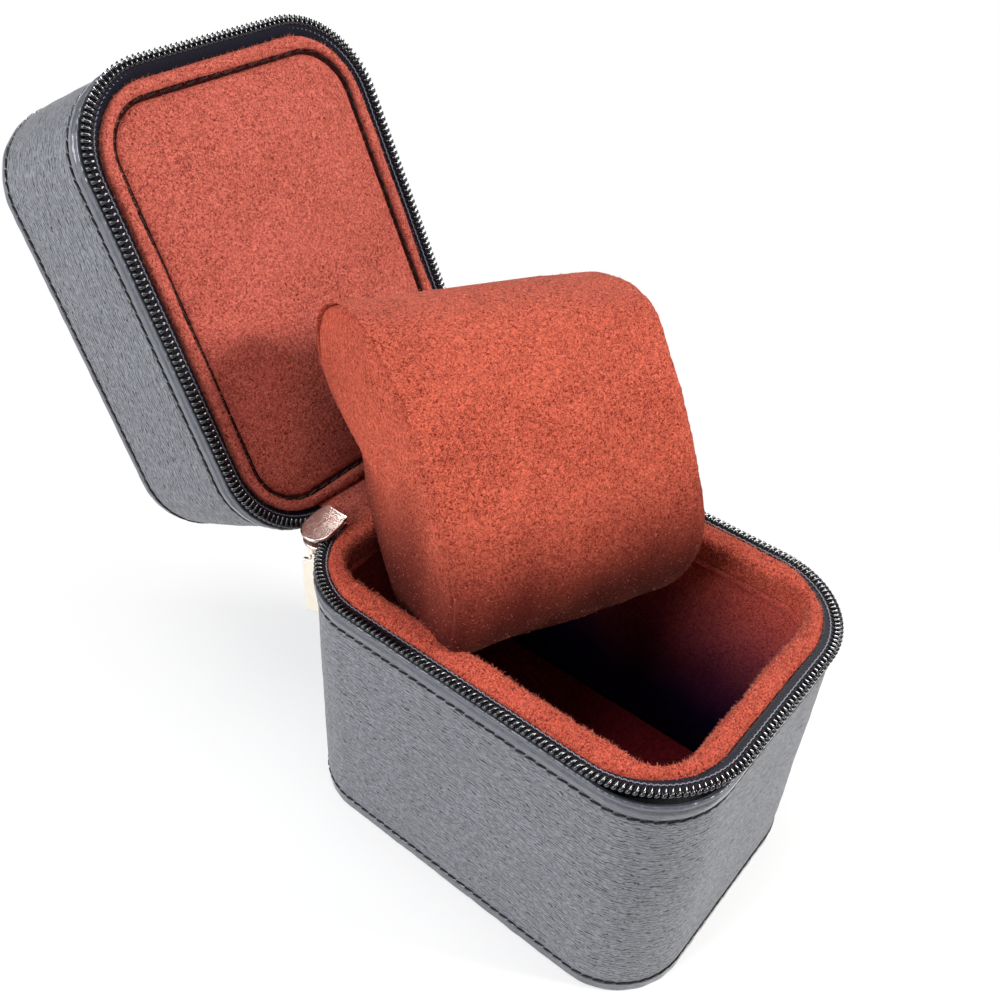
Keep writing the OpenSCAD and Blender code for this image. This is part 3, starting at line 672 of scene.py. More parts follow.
def swarm(name, points, finish):
    """A piece of many equal closed tubes from points[tube, ring, side]."""
    tubes, rings, sides = points.shape[:3]
    one, row, column = grid_faces(rings, sides, False, True)
    faces = (np.arange(tubes)[:, None, None] * rings * sides + one[None]).reshape(-1, 4)
    length = np.linalg.norm(np.diff(points.mean(2), axis=1), axis=2).mean(0)
    along = np.r_[0, np.cumsum(length)]
    uv = np.stack([along[row], column / sides], -1)
    return make_piece(name, points.reshape(-1, 3), faces, finish, np.tile(uv, (tubes, 1, 1)))


def tube(spine, first, second, sides):
    """Points[..., side]: the spine, plus first by the cosine and second by the sine of an angle
    that goes once round."""
    spin = np.linspace(0, 2 * np.pi, sides, endpoint=False)[:, None]
    return spine[..., None, :] + (first[..., None, :] * np.cos(spin) + second[..., None, :] * np.sin(spin))


print("grid helpers are ready")

# %% [markdown]
# ## The outline of the case
# Seen from above, the wall, the zip, the rim and the well are all rounded rectangles. They differ
# in how far they lie inside the wall and in their corner radius. A turn from 0 to 9 goes once
# round: half the back, then corners and sides in turn, and the other half of the back. At the same
# turn all outlines face the same way, so a profile can span from one to another.

# %% Outline helpers
TURNS = np.arange(10)
SIDE_X = [0, -1, -1, -1, -1, 1, 1, 1, 1, 0]
SIDE_Y = [1, 1, 1, -1, -1, -1, -1, 1, 1, 1]
FACING = np.radians([90, 90, 180, 180, 270, 270, 360, 360, 450, 450])


def outward(turn):
    """The direction out of the wall at each turn, as a level unit vector."""
    angle = np.interp(turn, TURNS, FACING)
    return np.stack([np.cos(angle), np.sin(angle), np.zeros_like(angle)], -1)


def outline(turn, inset, radius):
    """x and y of a rounded rectangle: the corner's middle plus radius along the facing."""
    way = outward(turn)
    x = (HALF_W - inset - radius) * np.interp(turn, TURNS, SIDE_X) + radius * way[..., 0]
    y = (HALF_D - inset - radius) * np.interp(turn, TURNS, SIDE_Y) + radius * way[..., 1]
    return x, y


def even_turns(inset, radius, step, first=0.0, last=9.0):
    """Turns from first to last whose points on an outline lie about step apart."""
    straight = np.array([HALF_W, 2 * HALF_D, 2 * HALF_W, 2 * HALF_D, HALF_W])
    straight -= (inset + radius) * np.array([1, 2, 2, 2, 1])
    lengths = np.empty(9)
    lengths[0::2] = straight
    lengths[1::2] = np.pi / 2 * radius
    run = np.r_[0, np.cumsum(lengths)]
    start, end = np.interp([first, last], TURNS, run)
    places = np.linspace(start, end, int(round((end - start) / step)) + 1)
    return np.interp(places, run, TURNS)


def around(turn, inset, radius, height):
    """Points[turn, profile]: each profile point has its own inset, corner radius and height."""
    turn = np.asarray(turn, float)[:, None]
    inset, radius, height = [np.asarray(value, float) for value in (inset, radius, height)]
    shape = np.broadcast_shapes(turn.shape, inset.shape, radius.shape, height.shape)
    x, y = outline(np.broadcast_to(turn, shape), inset, radius)
    return np.stack([x, y, np.broadcast_to(height, shape)], -1)


def turned(a, b, angle):
    """Two coordinates of the same points, turned by an angle in their plane."""
    return a * np.cos(angle) - b * np.sin(angle), a * np.sin(angle) + b * np.cos(angle)


def open_lid(points):
    """Turns points of the closed lid back about the hinge, by the angle at which it lies open."""
    y, z = turned(points[..., 1] - HINGE_Y, points[..., 2] - HINGE_Z, -LID_OPEN)
    return np.stack([points[..., 0], HINGE_Y + y, HINGE_Z + z], -1)


def settle(points, body):
    """Puts points of the closed case in place: the lid lies open, and the base stays."""
    return open_lid(points) if body == "lid" else points


def ripple(points, wavelength, seed, waves=9):
    """Soft random waves, about -1 to 1: a mean of sines in fixed random directions."""
    rng = np.random.default_rng(seed)
    directions = rng.normal(size=(waves, 3))
    directions /= np.linalg.norm(directions, axis=1)[:, None]
    lengths = wavelength * rng.uniform(0.7, 1.5, waves)
    phase = points @ (directions / lengths[:, None]).T * 2 * np.pi + rng.uniform(0, 2 * np.pi, waves)
    return np.sin(phase).sum(-1) / np.sqrt(waves)


def rounded(corners, radii, step=0.25):
    """A closed profile with rounded corners: each corner becomes an arc between its two sides."""
    corners = np.array(corners, float)
    path = []
    neighbours = zip(corners, np.roll(corners, 1, 0), np.roll(corners, -1, 0), radii)
    for corner, before, after, radius in neighbours:
        a, b = before - corner, after - corner
        a, b = a / np.linalg.norm(a), b / np.linalg.norm(b)
        half = np.arccos(np.clip(a @ b, -1, 1)) / 2
        reach = radius / np.tan(half)
        middle = corner + (a + b) / np.linalg.norm(a + b) * radius / np.sin(half)
        start, end = corner + a * reach - middle, corner + b * reach - middle
        turn = np.arctan2(start[0] * end[1] - start[1] * end[0], start @ end)
        angles = np.linspace(0, turn, max(2, int(abs(turn) * radius / step) + 2))
        spin = np.arctan2(start[1], start[0]) + angles
        path.append(middle + radius * np.stack([np.cos(spin), np.sin(spin)], -1))
    return np.concatenate(path)


def spaced(profile, step):
    """The closed profile again, with points about step apart."""
    loop = np.vstack([profile, profile[:1]])
    run = run_along(loop)
    places = np.linspace(0, run[-1], int(run[-1] / step) + 1)[:-1]
    return np.stack([np.interp(places, run, loop[:, k]) for k in (0, 1)], -1)


def at_front(turn):
    """1 along the front, 0 along both sides and the back, and in between round the corners."""
    return np.interp(turn, TURNS, [0, 0, 0, 0, 1, 1, 0, 0, 0, 0])


once_round = run_along(around(even_turns(0, CASE_R, 1.0), 0, CASE_R, 0)[:, 0])[-1]
print("once round the wall", round(float(once_round), 1))

# %% [markdown]
# ## Suede fibres
# Against the dark well and the pale room the suede shows its pile: short fibres that stand out at
# the edge of every rim and of the cushion. Each fibre is a bent thorn rooted at a random spot of a
# finished surface. It leans with the surface's normal and a random way, and all fibres of a
# surface are one piece. The roots are spread by area: a cell of the grid is drawn by its share.

# %% Suede fibres
FIBRE_R, FIBRE_ROOT = 0.042, 0.12
FIBRE_WILD, FIBRE_BEND, FIBRE_KNEE = 0.62, 0.45, 0.55


def fibres(name, grid, count, length, seed, body, out_way=1.0):
    """Thorns on a grid of placed points[row, column]. Each runs from below its root up to a knee,
    and bends there. out_way says which way the grid's normals point."""
    rng = np.random.default_rng(seed)
    corner = grid[:-1, :-1]
    along, across = grid[1:, :-1] - corner, grid[:-1, 1:] - corner
    normal = np.cross(along, across) * out_way
    total = np.cumsum(np.linalg.norm(normal, axis=-1).ravel())
    cell = np.searchsorted(total, rng.uniform(0, total[-1], count))
    corner, along, across, normal = [side.reshape(-1, 3)[cell] for side in (corner, along, across, normal)]
    share = rng.uniform(0, 1, (2, count, 1))
    root = corner + along * share[0] + across * share[1]
    up = normal / np.linalg.norm(normal, axis=1)[:, None]
    lean = up * rng.uniform(0.25, 1.0, (count, 1)) + FIBRE_WILD * rng.normal(size=(count, 3))
    lean /= np.linalg.norm(lean, axis=1)[:, None]
    bend = lean + FIBRE_BEND * rng.normal(size=(count, 3))
    long = length * rng.uniform(0.45, 1.0, (count, 1))
    knee = root + FIBRE_KNEE * long * lean
    spine = np.stack([root - FIBRE_ROOT * up, root, knee, knee + (1 - FIBRE_KNEE) * long * bend], 1)
    side = np.cross(lean, up + 0.01)
    side /= np.linalg.norm(side, axis=1)[:, None]
    width = FIBRE_R * np.array([0.0, 1.0, 0.75, 0.0])[:, None]
    points = tube(spine, side[:, None] * width, np.cross(lean, side)[:, None] * width, 3)
    return attach(swarm(name, points, "suede_fibre"), body)


# %% [markdown]
# ## Leather walls
# One skin of leather goes round the board of each half. It is pulled tight, so it stays nearly
# plain: it swells a little between its edges, waves where the glue holds it unevenly, and is drawn
# in at every needle hole of the stitching along its edges.

# %% Leather walls
STITCH_PITCH = 2.49
STITCH_TURNS = even_turns(0, CASE_R, STITCH_PITCH)[:-1]
GRID_STEP = 0.5
WALL_SWELL, WALL_WAVE, SKIN_WAVE = 0.14, 0.10, 0.035
SEAM_DIP, HOLE_DIP, SEAM_REACH = 0.20, 0.12, 0.55
LOWER_SEAM, UPPER_SEAM = BAND_TOP + 0.5, EDGE_ROOT - 0.5
LID_OUTER_SEAM, LID_EDGE_SEAM = LID_BAND - 0.5, LID_EDGE_ROOT + 0.5


def leather_wall(name, low, high, seams, seed, body, node):
    """A closed ring of leather from low to high. It swells by half a sine from edge to edge and
    waves, and it dips along each seam by a bell curve, deeper at the needle holes."""
    turn = even_turns(0, CASE_R, GRID_STEP)[:-1]
    height = np.linspace(low, high, int((high - low) / 1.1) + 1)
    near = np.concatenate([seam + np.linspace(-1.2, 1.2, 9) for seam in seams])
    height = np.unique(np.clip(np.r_[height, near], low, high))
    inset = np.r_[np.zeros(len(height)), np.full(2, LEATHER_T)]
    points = around(turn, inset, CASE_R - inset, np.r_[height, high, low])
    skin = points[:, :len(height)]
    share = (height - low) / (high - low)
    arch = np.sin(np.pi * share)
    swell = WALL_SWELL * arch + WALL_WAVE * ripple(skin, 26, seed) * arch
    swell = swell + SKIN_WAVE * ripple(skin, 5, seed + 1)
    run = np.arange(len(turn)) / len(turn)
    holes = np.cos(2 * np.pi * run * len(STITCH_TURNS)) * 0.5 + 0.5
    for seam in seams:
        dip = np.exp(-((height - seam) / SEAM_REACH) ** 2)
        swell = swell - dip * (SEAM_DIP + HOLE_DIP * holes[:, None] ** 3)
    points[:, :len(height)] += outward(turn)[:, None] * swell[..., None]
    return attach(surface(name, settle(points, body), "leather_body", True, True), body, node)


for name, low, high, seams, seed, body, node in (
        ("base_leather_wall", BAND_TOP, EDGE_ROOT, [LOWER_SEAM, UPPER_SEAM], 3, "base", "base_wrap"),
        ("lid_leather_wall", LID_EDGE_ROOT, LID_BAND, [LID_EDGE_SEAM, LID_OUTER_SEAM], 7,
         "lid", "lid_wrap")):
    wall = leather_wall(name, low, high, seams, seed, body, node)
    print(name, len(wall.data.polygons), "faces")

# %% [markdown]
# ## Bands and turned edges
# Below the lower stitches the leather rolls round the bottom of the board. Beside the zip it is
# turned over a cord and sewn down, so its lip is round, shiny and finely puckered where the thread
# gathers it. Both are profiles carried round the case.

# %% Bands and turned edges
BAND_ROLL, BAND_WAVE = 0.75, 0.05
LIP_PUCKER, LIP_LIFT, EDGE_FOLD, EDGE_WAVE = 0.16, 0.14, 0.05, 0.08


def carried(profile, step):
    """The turns, and the points of a profile of insets and heights carried round the wall."""
    turn = even_turns(0, CASE_R, step)[:-1]
    return turn, around(turn, profile[:, 0], CASE_R - profile[:, 0], profile[:, 1])


def band(name, low, high, outer_edge, seed, body, node):
    """A strip of leather from low to high whose edge at the height outer_edge is rolled round."""
    rolls = [BAND_ROLL if z == outer_edge else 0.12 for z in (low, high)]
    corners = [(0.0, low), (0.0, high), (LEATHER_T, high), (LEATHER_T, low)]
    profile = spaced(rounded(corners, [*rolls, 0.03, 0.03]), 0.22)
    turn, points = carried(profile, GRID_STEP)
    free = (profile[:, 0] < LEATHER_T / 2)[None, :]
    points += outward(turn)[:, None] * (BAND_WAVE * ripple(points, 4, seed) * free)[..., None]
    return attach(surface(name, settle(points, body), "leather_trim", True, True), body, node)


def turned_edge(name, root, lip, seed, body, node):
    """A leather edge that swells from its root seam, sinks and ends in a puckered round lip."""
    way = np.sign(lip - root)
    inner = LEATHER_T - EDGE_PROUD
    corners = [(0.05, root), (-0.42, root + way * 1.0), (-0.50, root + way * 2.4),
               (-0.12, lip - way * 1.35), (-0.62, lip - way * 0.62), (-0.40, lip + way * 0.05),
               (inner, lip), (inner, root)]
    profile = spaced(rounded(corners, [0.05, 0.6, 0.9, 0.5, 0.32, 0.3, 0.3, 0.03], 0.1), 0.16)
    turn, points = carried(profile, 0.30)
    skin = (profile[:, 0] < 0.2)[None, :]
    at_lip = np.clip(1 - np.abs(profile[:, 1] - lip) / 1.3, 0, 1)[None, :] * skin
    middle = np.clip(1 - np.abs(profile[:, 1] - (lip + root) / 2) / 2.2, 0, 1)[None, :] * skin
    pucker = 0.5 + 0.5 * ripple(around(turn, 0.0, CASE_R, 0.0), 1.3, seed)
    fold = ripple(points * np.array([1.0, 1.0, 0.35]), 2.2, seed + 1)
    lift = (LIP_PUCKER * pucker * at_lip + EDGE_FOLD * fold * middle
            + EDGE_WAVE * ripple(points, 7, seed + 2) * middle)
    points += outward(turn)[:, None] * lift[..., None]
    points[..., 2] += way * LIP_LIFT * pucker * at_lip
    return attach(surface(name, settle(points, body), "leather_trim", True, True), body, node)


band("base_rolled_band", 0.0, BAND_TOP, 0.0, 11, "base", "base_bottom_band")
band("lid_rolled_band", LID_BAND, LID_TOP, LID_TOP, 12, "lid", "lid_outer_band")
turned_edge("base_gathered_edge", EDGE_ROOT, EDGE_LIP, 13, "base", "base_turned_edge")
turned_edge("lid_gathered_edge", LID_EDGE_ROOT, LID_EDGE_LIP, 14, "lid", "lid_turned_edge")
print("bands and edges are made")

# %% [markdown]
# ## Stitches
# A seam is a row of separate stitches. Each dives into the leather at both ends and lies a little
# aslant, because the needle and the feed pull against each other. A stitch is a short bent tube
# with nine rings, and a whole row is one piece.

# %% Stitches
def stitches(name, turn, inset, radius, height, body, *nodes, proud=-0.01, thick=0.23, share=1.06,
             slant=0.22, faces_up=0.0):
    """Bent tubes along an outline that end in points. faces_up is 0 for a surface that faces out
    of the wall, and 1 or -1 for one that faces up or down."""
    s = np.linspace(-1, 1, 9)
    middle = around(turn, inset, radius, height)[:, 0]
    along = s * np.mean(np.hypot(*np.diff(middle[:, :2], axis=0).T)) * share / 2
    lift = proud - 0.07 * s ** 4
    width = (thick * np.sqrt(np.clip(1 - s ** 6, 0, 1)) + 1e-6)[:, None]
    out_way = outward(turn)
    forward = np.stack([-out_way[:, 1], out_way[:, 0], out_way[:, 2]], -1)
    upward = np.broadcast_to([0.0, 0.0, 1.0], out_way.shape)
    if faces_up:
        out_way, upward = upward * faces_up, out_way
    spine = (middle[:, None] + forward[:, None] * along[:, None] + out_way[:, None] * lift[:, None]
             + upward[:, None] * (along * slant)[:, None])
    points = tube(spine, out_way[:, None] * width, upward[:, None] * width, 7)
    return attach(swarm(name, settle(points, body), "thread"), body, *nodes)


for name, height, body, node in (
        ("base_lower_stitches", LOWER_SEAM, "base", "base_lower_seam"),
        ("base_upper_stitches", UPPER_SEAM, "base", "base_upper_seam"),
        ("lid_outer_stitches", LID_OUTER_SEAM, "lid", "lid_outer_seam"),
        ("lid_edge_stitches", LID_EDGE_SEAM, "lid", "lid_edge_seam")):
    stitches(name, STITCH_TURNS, 0, CASE_R, height, body, node)
print("stitches in a row", len(STITCH_TURNS))

# %% [markdown]
# ## Zip coils
# Each half of the zip is one nylon filament wound into a flat coil, with a swollen head on every
# turn where it locks into the other half. The spine is a flattened helix along the zip's path, and
# every turn lies a little aslant, as on a real coil. The filament is thicker at the heads. It is
# one unbroken tube.

# %% Zip coils
COIL_PITCH, FILAMENT_R = 1.31, 0.33
LOOP_W, LOOP_T, LOOP_TIP = 2.35, 1.45, 0.10
BASE_LOOP_OUT, LID_LOOP_OUT = 1.85, 0.85
BASE_LOOP_Z, LID_LOOP_Z = 69.55, 71.15
LID_FRONT_OUT = 0.7
SQUARENESS, HEAD_SWELL = 0.9, 0.45


def zip_run(outer, path_r, per_turn):
    """The turns at which coil loops end along the zip, and fine steps counted in loops."""
    ends = even_turns(-outer, path_r + outer, COIL_PITCH, 1.0, 8.0)
    count = len(ends) - 1
    return ends, np.linspace(0, count, count * per_turn + 1)


def coil(name, outer, path_r, level, body, node, front_out=0.0):
    """A flattened helix: its angle gives reach and height, its loops give the way along."""
    ends, wound = zip_run(outer, path_r, 16)
    angle = 2 * np.pi * wound
    half_w, half_t = LOOP_W / 2 - FILAMENT_R, LOOP_T / 2 - FILAMENT_R
    reach = np.sign(np.cos(angle)) * np.abs(np.cos(angle)) ** SQUARENESS * half_w
    rise = np.sign(np.sin(angle)) * np.abs(np.sin(angle)) ** SQUARENESS * half_t
    run = wound + 0.05 * np.sin(2 * angle) - 0.10 * np.cos(angle)
    turn = np.interp(run, np.arange(len(ends)), ends)
    inset = -(outer - LOOP_W / 2) - reach - front_out * at_front(turn)
    height = level + rise + LOOP_TIP * reach / half_w
    spine = around(turn, inset[:, None], path_r - inset[:, None], height[:, None])[:, 0]
    ahead = np.gradient(spine, axis=0)
    ahead /= np.linalg.norm(ahead, axis=1)[:, None]
    out_way = outward(turn) * np.cos(angle)[:, None]
    out_way[:, 2] += np.sin(angle)
    side_way = np.cross(ahead, out_way)
    side_way /= np.linalg.norm(side_way, axis=1)[:, None]
    wide = FILAMENT_R * (1 + HEAD_SWELL * np.clip(np.cos(angle), 0, 1) ** 4)
    points = tube(spine, np.cross(side_way, ahead) * FILAMENT_R, side_way * wide[:, None], 6)
    return attach(surface(name, settle(points, body), "zip_coil", False, True, caps=True), body, node)


coil("base_coil_loops", BASE_LOOP_OUT, ZIP_R, BASE_LOOP_Z, "base", "base_zip_coil")
coil("lid_coil_loops", LID_LOOP_OUT, LID_ZIP_R, LID_LOOP_Z, "lid", "lid_zip_coil", LID_FRONT_OUT)
print("coils are wound")

# %% [markdown]
# ## Zip tapes
# The tape is woven polyester, folded up between the turned edge and the suede rim, and it turns
# out under the coil. A line of chain thread sews the coil down. Its pale grey is partly a painted
# highlight of the tape's edge, so it shows as a thin pale line beside the black loops. Along the
# front more of the tape shows, because the rim lies further in.

# %% Zip tapes and coil threads
TAPE_T = 0.4
RIM_FRONT_IN = 1.2
THREAD_R, THREAD_SWAY, THREAD_HOP = 0.14, 0.07, 0.10


def tape(name, corners, radius, body, node, front_in, front_out):
    """A woven strip: a closed thin profile carried round the zip's path. Along the front its
    inner part lies front_in further in and its outer part front_out further out."""
    profile = spaced(rounded(corners, [0.08] * len(corners), 0.08), 0.25)
    turn = even_turns(0, CASE_R, 0.8, 1.0, 8.0)
    inner = np.clip(profile[:, 0] / 0.9, 0, 1)
    shift = at_front(turn)[:, None] * (inner * front_in - (1 - inner) * front_out)
    points = around(turn, profile[:, 0] + shift, radius - profile[:, 0], profile[:, 1])
    return attach(surface(name, settle(points, body), "zip_tape", False, True, caps=True), body, node)


tape("base_woven_tape",
     [(ZIP_INSET, RIM_LOW), (ZIP_INSET - TAPE_T, RIM_LOW), (ZIP_INSET - TAPE_T, BASE_LOOP_Z - 0.4),
      (-BASE_LOOP_OUT + 0.9, BASE_LOOP_Z - 0.2), (-BASE_LOOP_OUT + 0.9, BASE_LOOP_Z),
      (ZIP_INSET, BASE_LOOP_Z - 0.05)], ZIP_R, "base", "base_zip_tape", RIM_FRONT_IN, 0.0)
tape("lid_woven_tape",
     [(LID_RIM_INSET, LID_LOOP_Z + 1.5), (1.5, LID_LOOP_Z + 0.3), (-LID_LOOP_OUT + 0.9, LID_LOOP_Z - 0.2),
      (-LID_LOOP_OUT + 0.9, LID_LOOP_Z + 0.2), (1.5, LID_LOOP_Z + 0.7),
      (LID_RIM_INSET - TAPE_T, LID_LOOP_Z + 1.8), (LID_RIM_INSET - TAPE_T, LID_EDGE_ROOT),
      (LID_RIM_INSET, LID_EDGE_ROOT)], LID_ZIP_R, "lid", "lid_zip_tape", 0.0, LID_FRONT_OUT)


def coil_thread(name, outer, gap, path_r, crown, way, body, front_out):
    """A thread that sews the tape down: it sways by a sine and hops by a cosine once a loop."""
    ends, run = zip_run(outer, path_r, 8)
    turn = np.interp(run, np.arange(len(ends)), ends)
    inset = (gap + THREAD_SWAY * np.sin(2 * np.pi * run) - front_out * at_front(turn))[:, None]
    height = crown + way * THREAD_HOP * np.cos(2 * np.pi * run)
    spine = around(turn, inset, path_r - inset, height[:, None])[:, 0]
    points = tube(spine, THREAD_R * outward(turn), np.array([[0.0, 0.0, THREAD_R]]), 5)
    return attach(surface(name, settle(points, body), "chain_thread_highlight", False, True, caps=True), body)


# The pale grey of these threads is partly a painted highlight of the tape's edge.
coil_thread("base_coil_thread", BASE_LOOP_OUT, 0.85, ZIP_R, BASE_LOOP_Z + 0.15, 1, "base", 0.0)
coil_thread("lid_coil_thread", LID_LOOP_OUT, 1.95, LID_ZIP_R, LID_LOOP_Z + 0.45, -1, "lid", LID_FRONT_OUT)
print("tapes are made")

# %% [markdown]
# ## Suede rims, well and lid panel
# The rim of the base is a strip of foam in suede, rolled over on both sides. Its outer edge follows
# the zip and its inner edge the well, whose corners are tighter, so the profile spans from one
# outline to the other. The well is lined with the same suede and has a soft pad on its floor.

# %% Padded rims
BASE_RIM_Z = 70.6
LID_CROWN = LID_RIM - 0.7
RIM_STEP = 0.45
RIM_PUFF, RIM_FILL, RIM_PILE = 0.16, 0.7, 0.95


def nap(points, seed, height=0.05):
    """Small random lifts of a suede surface, fixed by the seed."""
    rng = np.random.default_rng(seed)
    return rng.normal(size=points.shape[:-1]) * height


def rim_roll(name, outer, outer_r, inner, inner_r, base_z, crown_z, rolls, body, node, seed, front_in,
             hairs, finish):
    """A padded rim: a rounded profile between two outlines, pushed away from its middle by waves
    and a nap. front_in moves its outer edge in along the front, and hairs counts its fibres."""
    way = np.sign(crown_z - base_z)
    wide = inner - outer
    corners = [(0.0, base_z), (0.0, crown_z), (wide, crown_z), (wide, base_z)]
    profile = spaced(rounded(corners, [0.1, *rolls, 0.1], 0.3), RIM_STEP)
    share, height = profile[:, 0] / wide, profile[:, 1]
    turn = even_turns(outer, outer_r, RIM_STEP)[:-1]
    inset = outer + profile[:, 0] + at_front(turn)[:, None] * (1 - share) * front_in
    points = around(turn, inset, outer_r + (inner_r - outer_r) * share, height)
    free = np.clip((height - base_z) / (crown_z - base_z) * 1.6, 0, 1)[None, :]
    puff = RIM_PUFF * ripple(points, 13, seed) * free + nap(points, seed) * free
    away = profile - np.array([wide / 2, (base_z + crown_z) / 2])
    away /= np.linalg.norm(away, axis=1)[:, None]
    points -= outward(turn)[:, None] * (away[:, 0] * puff)[..., None]
    points[..., 2] += away[:, 1] * puff
    placed = settle(points, body)
    obj = surface(name, placed, finish, True, True)
    attach(obj, body, node)
    seen = np.flatnonzero((height - base_z) * way > 0.5 * abs(crown_z - base_z))
    fibres(name.replace("rim", "rim_pile"), placed[:, seen], hairs, RIM_PILE, seed + 70, body, way)
    return obj


rim_roll("base_suede_rim", ZIP_INSET, ZIP_R - ZIP_INSET, WELL_INSET, WELL_R, RIM_LOW, BASE_RIM_Z,
         (2.2, 1.9), "base", "base_rim_pad", 21, RIM_FRONT_IN, 12000, "suede_rim")

# %% Lining of the well
HEM_T, HEM_DROP, HEM_REACH = 0.30, 1.2, 0.9


def well_lining():
    """The upright suede wall of the well, lifted inwards by waves, a nap and a hem under the rim."""
    height = np.r_[np.linspace(WELL_FLOOR, RIM_LOW - 3, 60), RIM_LOW - np.linspace(2.8, 0, 14)]
    inset = np.r_[np.full(len(height), WELL_INSET), np.full(2, WELL_INSET - 1)]
    turn = even_turns(WELL_INSET, WELL_R, 0.8)[:-1]
    points = around(turn, inset, WELL_R + WELL_INSET - inset, np.r_[height, RIM_LOW, WELL_FLOOR])
    skin = points[:, :len(height)]
    hem = HEM_T * np.exp(-((height - RIM_LOW + HEM_DROP) / HEM_REACH) ** 2)
    lift = 0.18 * ripple(skin, 20, 31) + nap(skin, 32) + hem - 0.15
    points[:, :len(height)] -= outward(turn)[:, None] * lift[..., None]
    return attach(surface("well_suede_wall", points, "suede_well", True, True), "base", "base_liner_wall")


print("well lining", len(well_lining().data.polygons), "faces")

# %% Floor pad and lid panel
PAD_FILL, PAD_HAIRS, PAD_PILE = 0.6, 9000, 0.7


def pad(name, inset, radius, flat_z, crown_z, roll, body, node, seed, finish, way=1):
    """A padded plate: rings drawn in from an outline to the middle, crowned by a soft dome."""
    turn = even_turns(inset, radius, 0.7)[:-1]
    edge = np.stack(outline(turn, inset, radius), -1)
    shrink = np.r_[np.sin(np.linspace(0, np.pi / 2, 70)) ** 0.9][1:]
    top = edge[:, None] * shrink[None, :, None]
    depth = (1 - shrink) * (HALF_W - inset)
    side_z = np.sqrt(np.clip(1 - (1 - np.clip(depth / roll, 0, 1)) ** 2, 0, 1))
    swell = 1 - shrink ** 5
    height = flat_z + way * roll * side_z + (crown_z - flat_z - way * roll) * swell
    points = np.concatenate([top, np.broadcast_to(height[None, :, None], top.shape[:2] + (1,))], -1)
    fuzz = nap(points, seed + 1, 0.04) * np.clip(2.5 * shrink, 0, 1)
    points[..., 2] += way * (0.10 * ripple(points, 16, seed) * swell + fuzz)
    under = np.stack([edge[:, 0], edge[:, 1], np.full(len(edge), flat_z)], -1)[:, None]
    poles = [np.broadcast_to([0.0, 0.0, z], (len(turn), 1, 3)) for z in (points[:, 0, 2].mean(), flat_z)]
    placed = settle(np.concatenate([poles[0], points, under, poles[1]], 1), body)
    obj = surface(name, placed, finish, True, False)
    attach(obj, body, node)
    if way < 0:
        fibres(name + "_pile", placed[:, 2:-2], PAD_HAIRS, PAD_PILE, seed + 70, body)
    return obj


# The pad's darker, bluish suede is painted shade.
pad("well_floor_pad", WELL_INSET + 0.3, WELL_R - 0.3, WELL_FLOOR, WELL_FLOOR + 2.6, 1.4,
    "base", "base_floor_pad", 41, "suede_floor_shaded")
rim_roll("lid_suede_rim", LID_RIM_INSET, LID_ZIP_R - LID_RIM_INSET, GROOVE_INSET, PANEL_R,
         LID_EDGE_ROOT, LID_CROWN, (1.3, 0.8), "lid", "lid_rim_pad", 22, -0.3, 4000, "suede_lining")
pad("lid_suede_panel", GROOVE_INSET + GROOVE_W, PANEL_R - GROOVE_W, LID_CROWN + 2.4, LID_CROWN - 0.35,
    1.2, "lid", "lid_panel_pad", 43, "suede_lining", way=-1)

# %% Groove round the lid panel
GUSSET_LAP = 0.3

groove_mid = (GROOVE_INSET + GROOVE_W / 2, PANEL_R - GROOVE_W / 2)
stitches("lid_groove_stitches", even_turns(*groove_mid, 3.3)[:-1], *groove_mid, LID_CROWN + 1.1, "lid",
         proud=0.0, thick=0.2, share=0.85, slant=0.1, faces_up=-1.0)
# The strip at the bottom of the groove is near-black suede: painted shade in the groove.
gusset_side = np.array([-GUSSET_LAP, GROOVE_W + GUSSET_LAP, GROOVE_W + GUSSET_LAP, -GUSSET_LAP])
gusset = around(even_turns(*groove_mid, 1.0)[:-1], GROOVE_INSET + gusset_side, PANEL_R - gusset_side,
                LID_CROWN + np.array([1.3, 1.3, 1.7, 1.7]))
attach(surface("lid_groove_gusset", open_lid(gusset), "suede_groove_shaded", True, True), "lid")
print("pads are made")

# %% [markdown]
# ## Hinge
# At the back both linings run on into a strip of suede that crosses the hinge, so nobody sees the
# leather bead beneath. It is one sheet from rim to rim, shaped for the open lid: it meets the base
# at one edge and the lid at the other.

# %% Hinge cloth
HINGE_HALF = span("hinge_leather")[1][0]
CLOTH_LAP, CLOTH_HALF_T, CLOTH_RISE = 5.2, 0.3, 0.9
HINGE_FROM = np.array([HALF_D - 2.4, RIM_HIGH - 0.9])
HINGE_TO = open_lid(np.array([[0, HALF_D - LID_RIM_INSET + 0.4, LID_RIM + 1.0]]))[0, 1:]


def hinge_cloth():
    """A thin strip: a line from rim to rim that rises between them, given a thickness."""
    t = np.linspace(0, 1, 40)[:, None]
    line = HINGE_FROM + (HINGE_TO - HINGE_FROM) * t
    line[:, 1] += CLOTH_RISE * np.sin(np.pi * t[:, 0]) + 0.12 * np.sin(6 * np.pi * t[:, 0])
    way = np.gradient(line, axis=0)
    way /= np.linalg.norm(way, axis=1)[:, None]
    up = np.stack([-way[:, 1], way[:, 0]], -1)
    loop = np.concatenate([line + CLOTH_HALF_T * up, (line - CLOTH_HALF_T * up)[::-1]])
    x = np.linspace(-HINGE_HALF - CLOTH_LAP, HINGE_HALF + CLOTH_LAP, 70)
    points = np.stack(np.broadcast_arrays(x[:, None], loop[None, :, 0], loop[None, :, 1]), -1)
    points[..., 2] += 0.12 * ripple(points, 9, 51)
    obj = surface("hinge_suede_strip", points, "suede_lining", False, True, caps=True)
    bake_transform(obj)
    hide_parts("hinge_lining")
    return obj


hinge_cloth()
print("hinge strip", [round(float(v), 2) for v in (*HINGE_FROM, *HINGE_TO)])

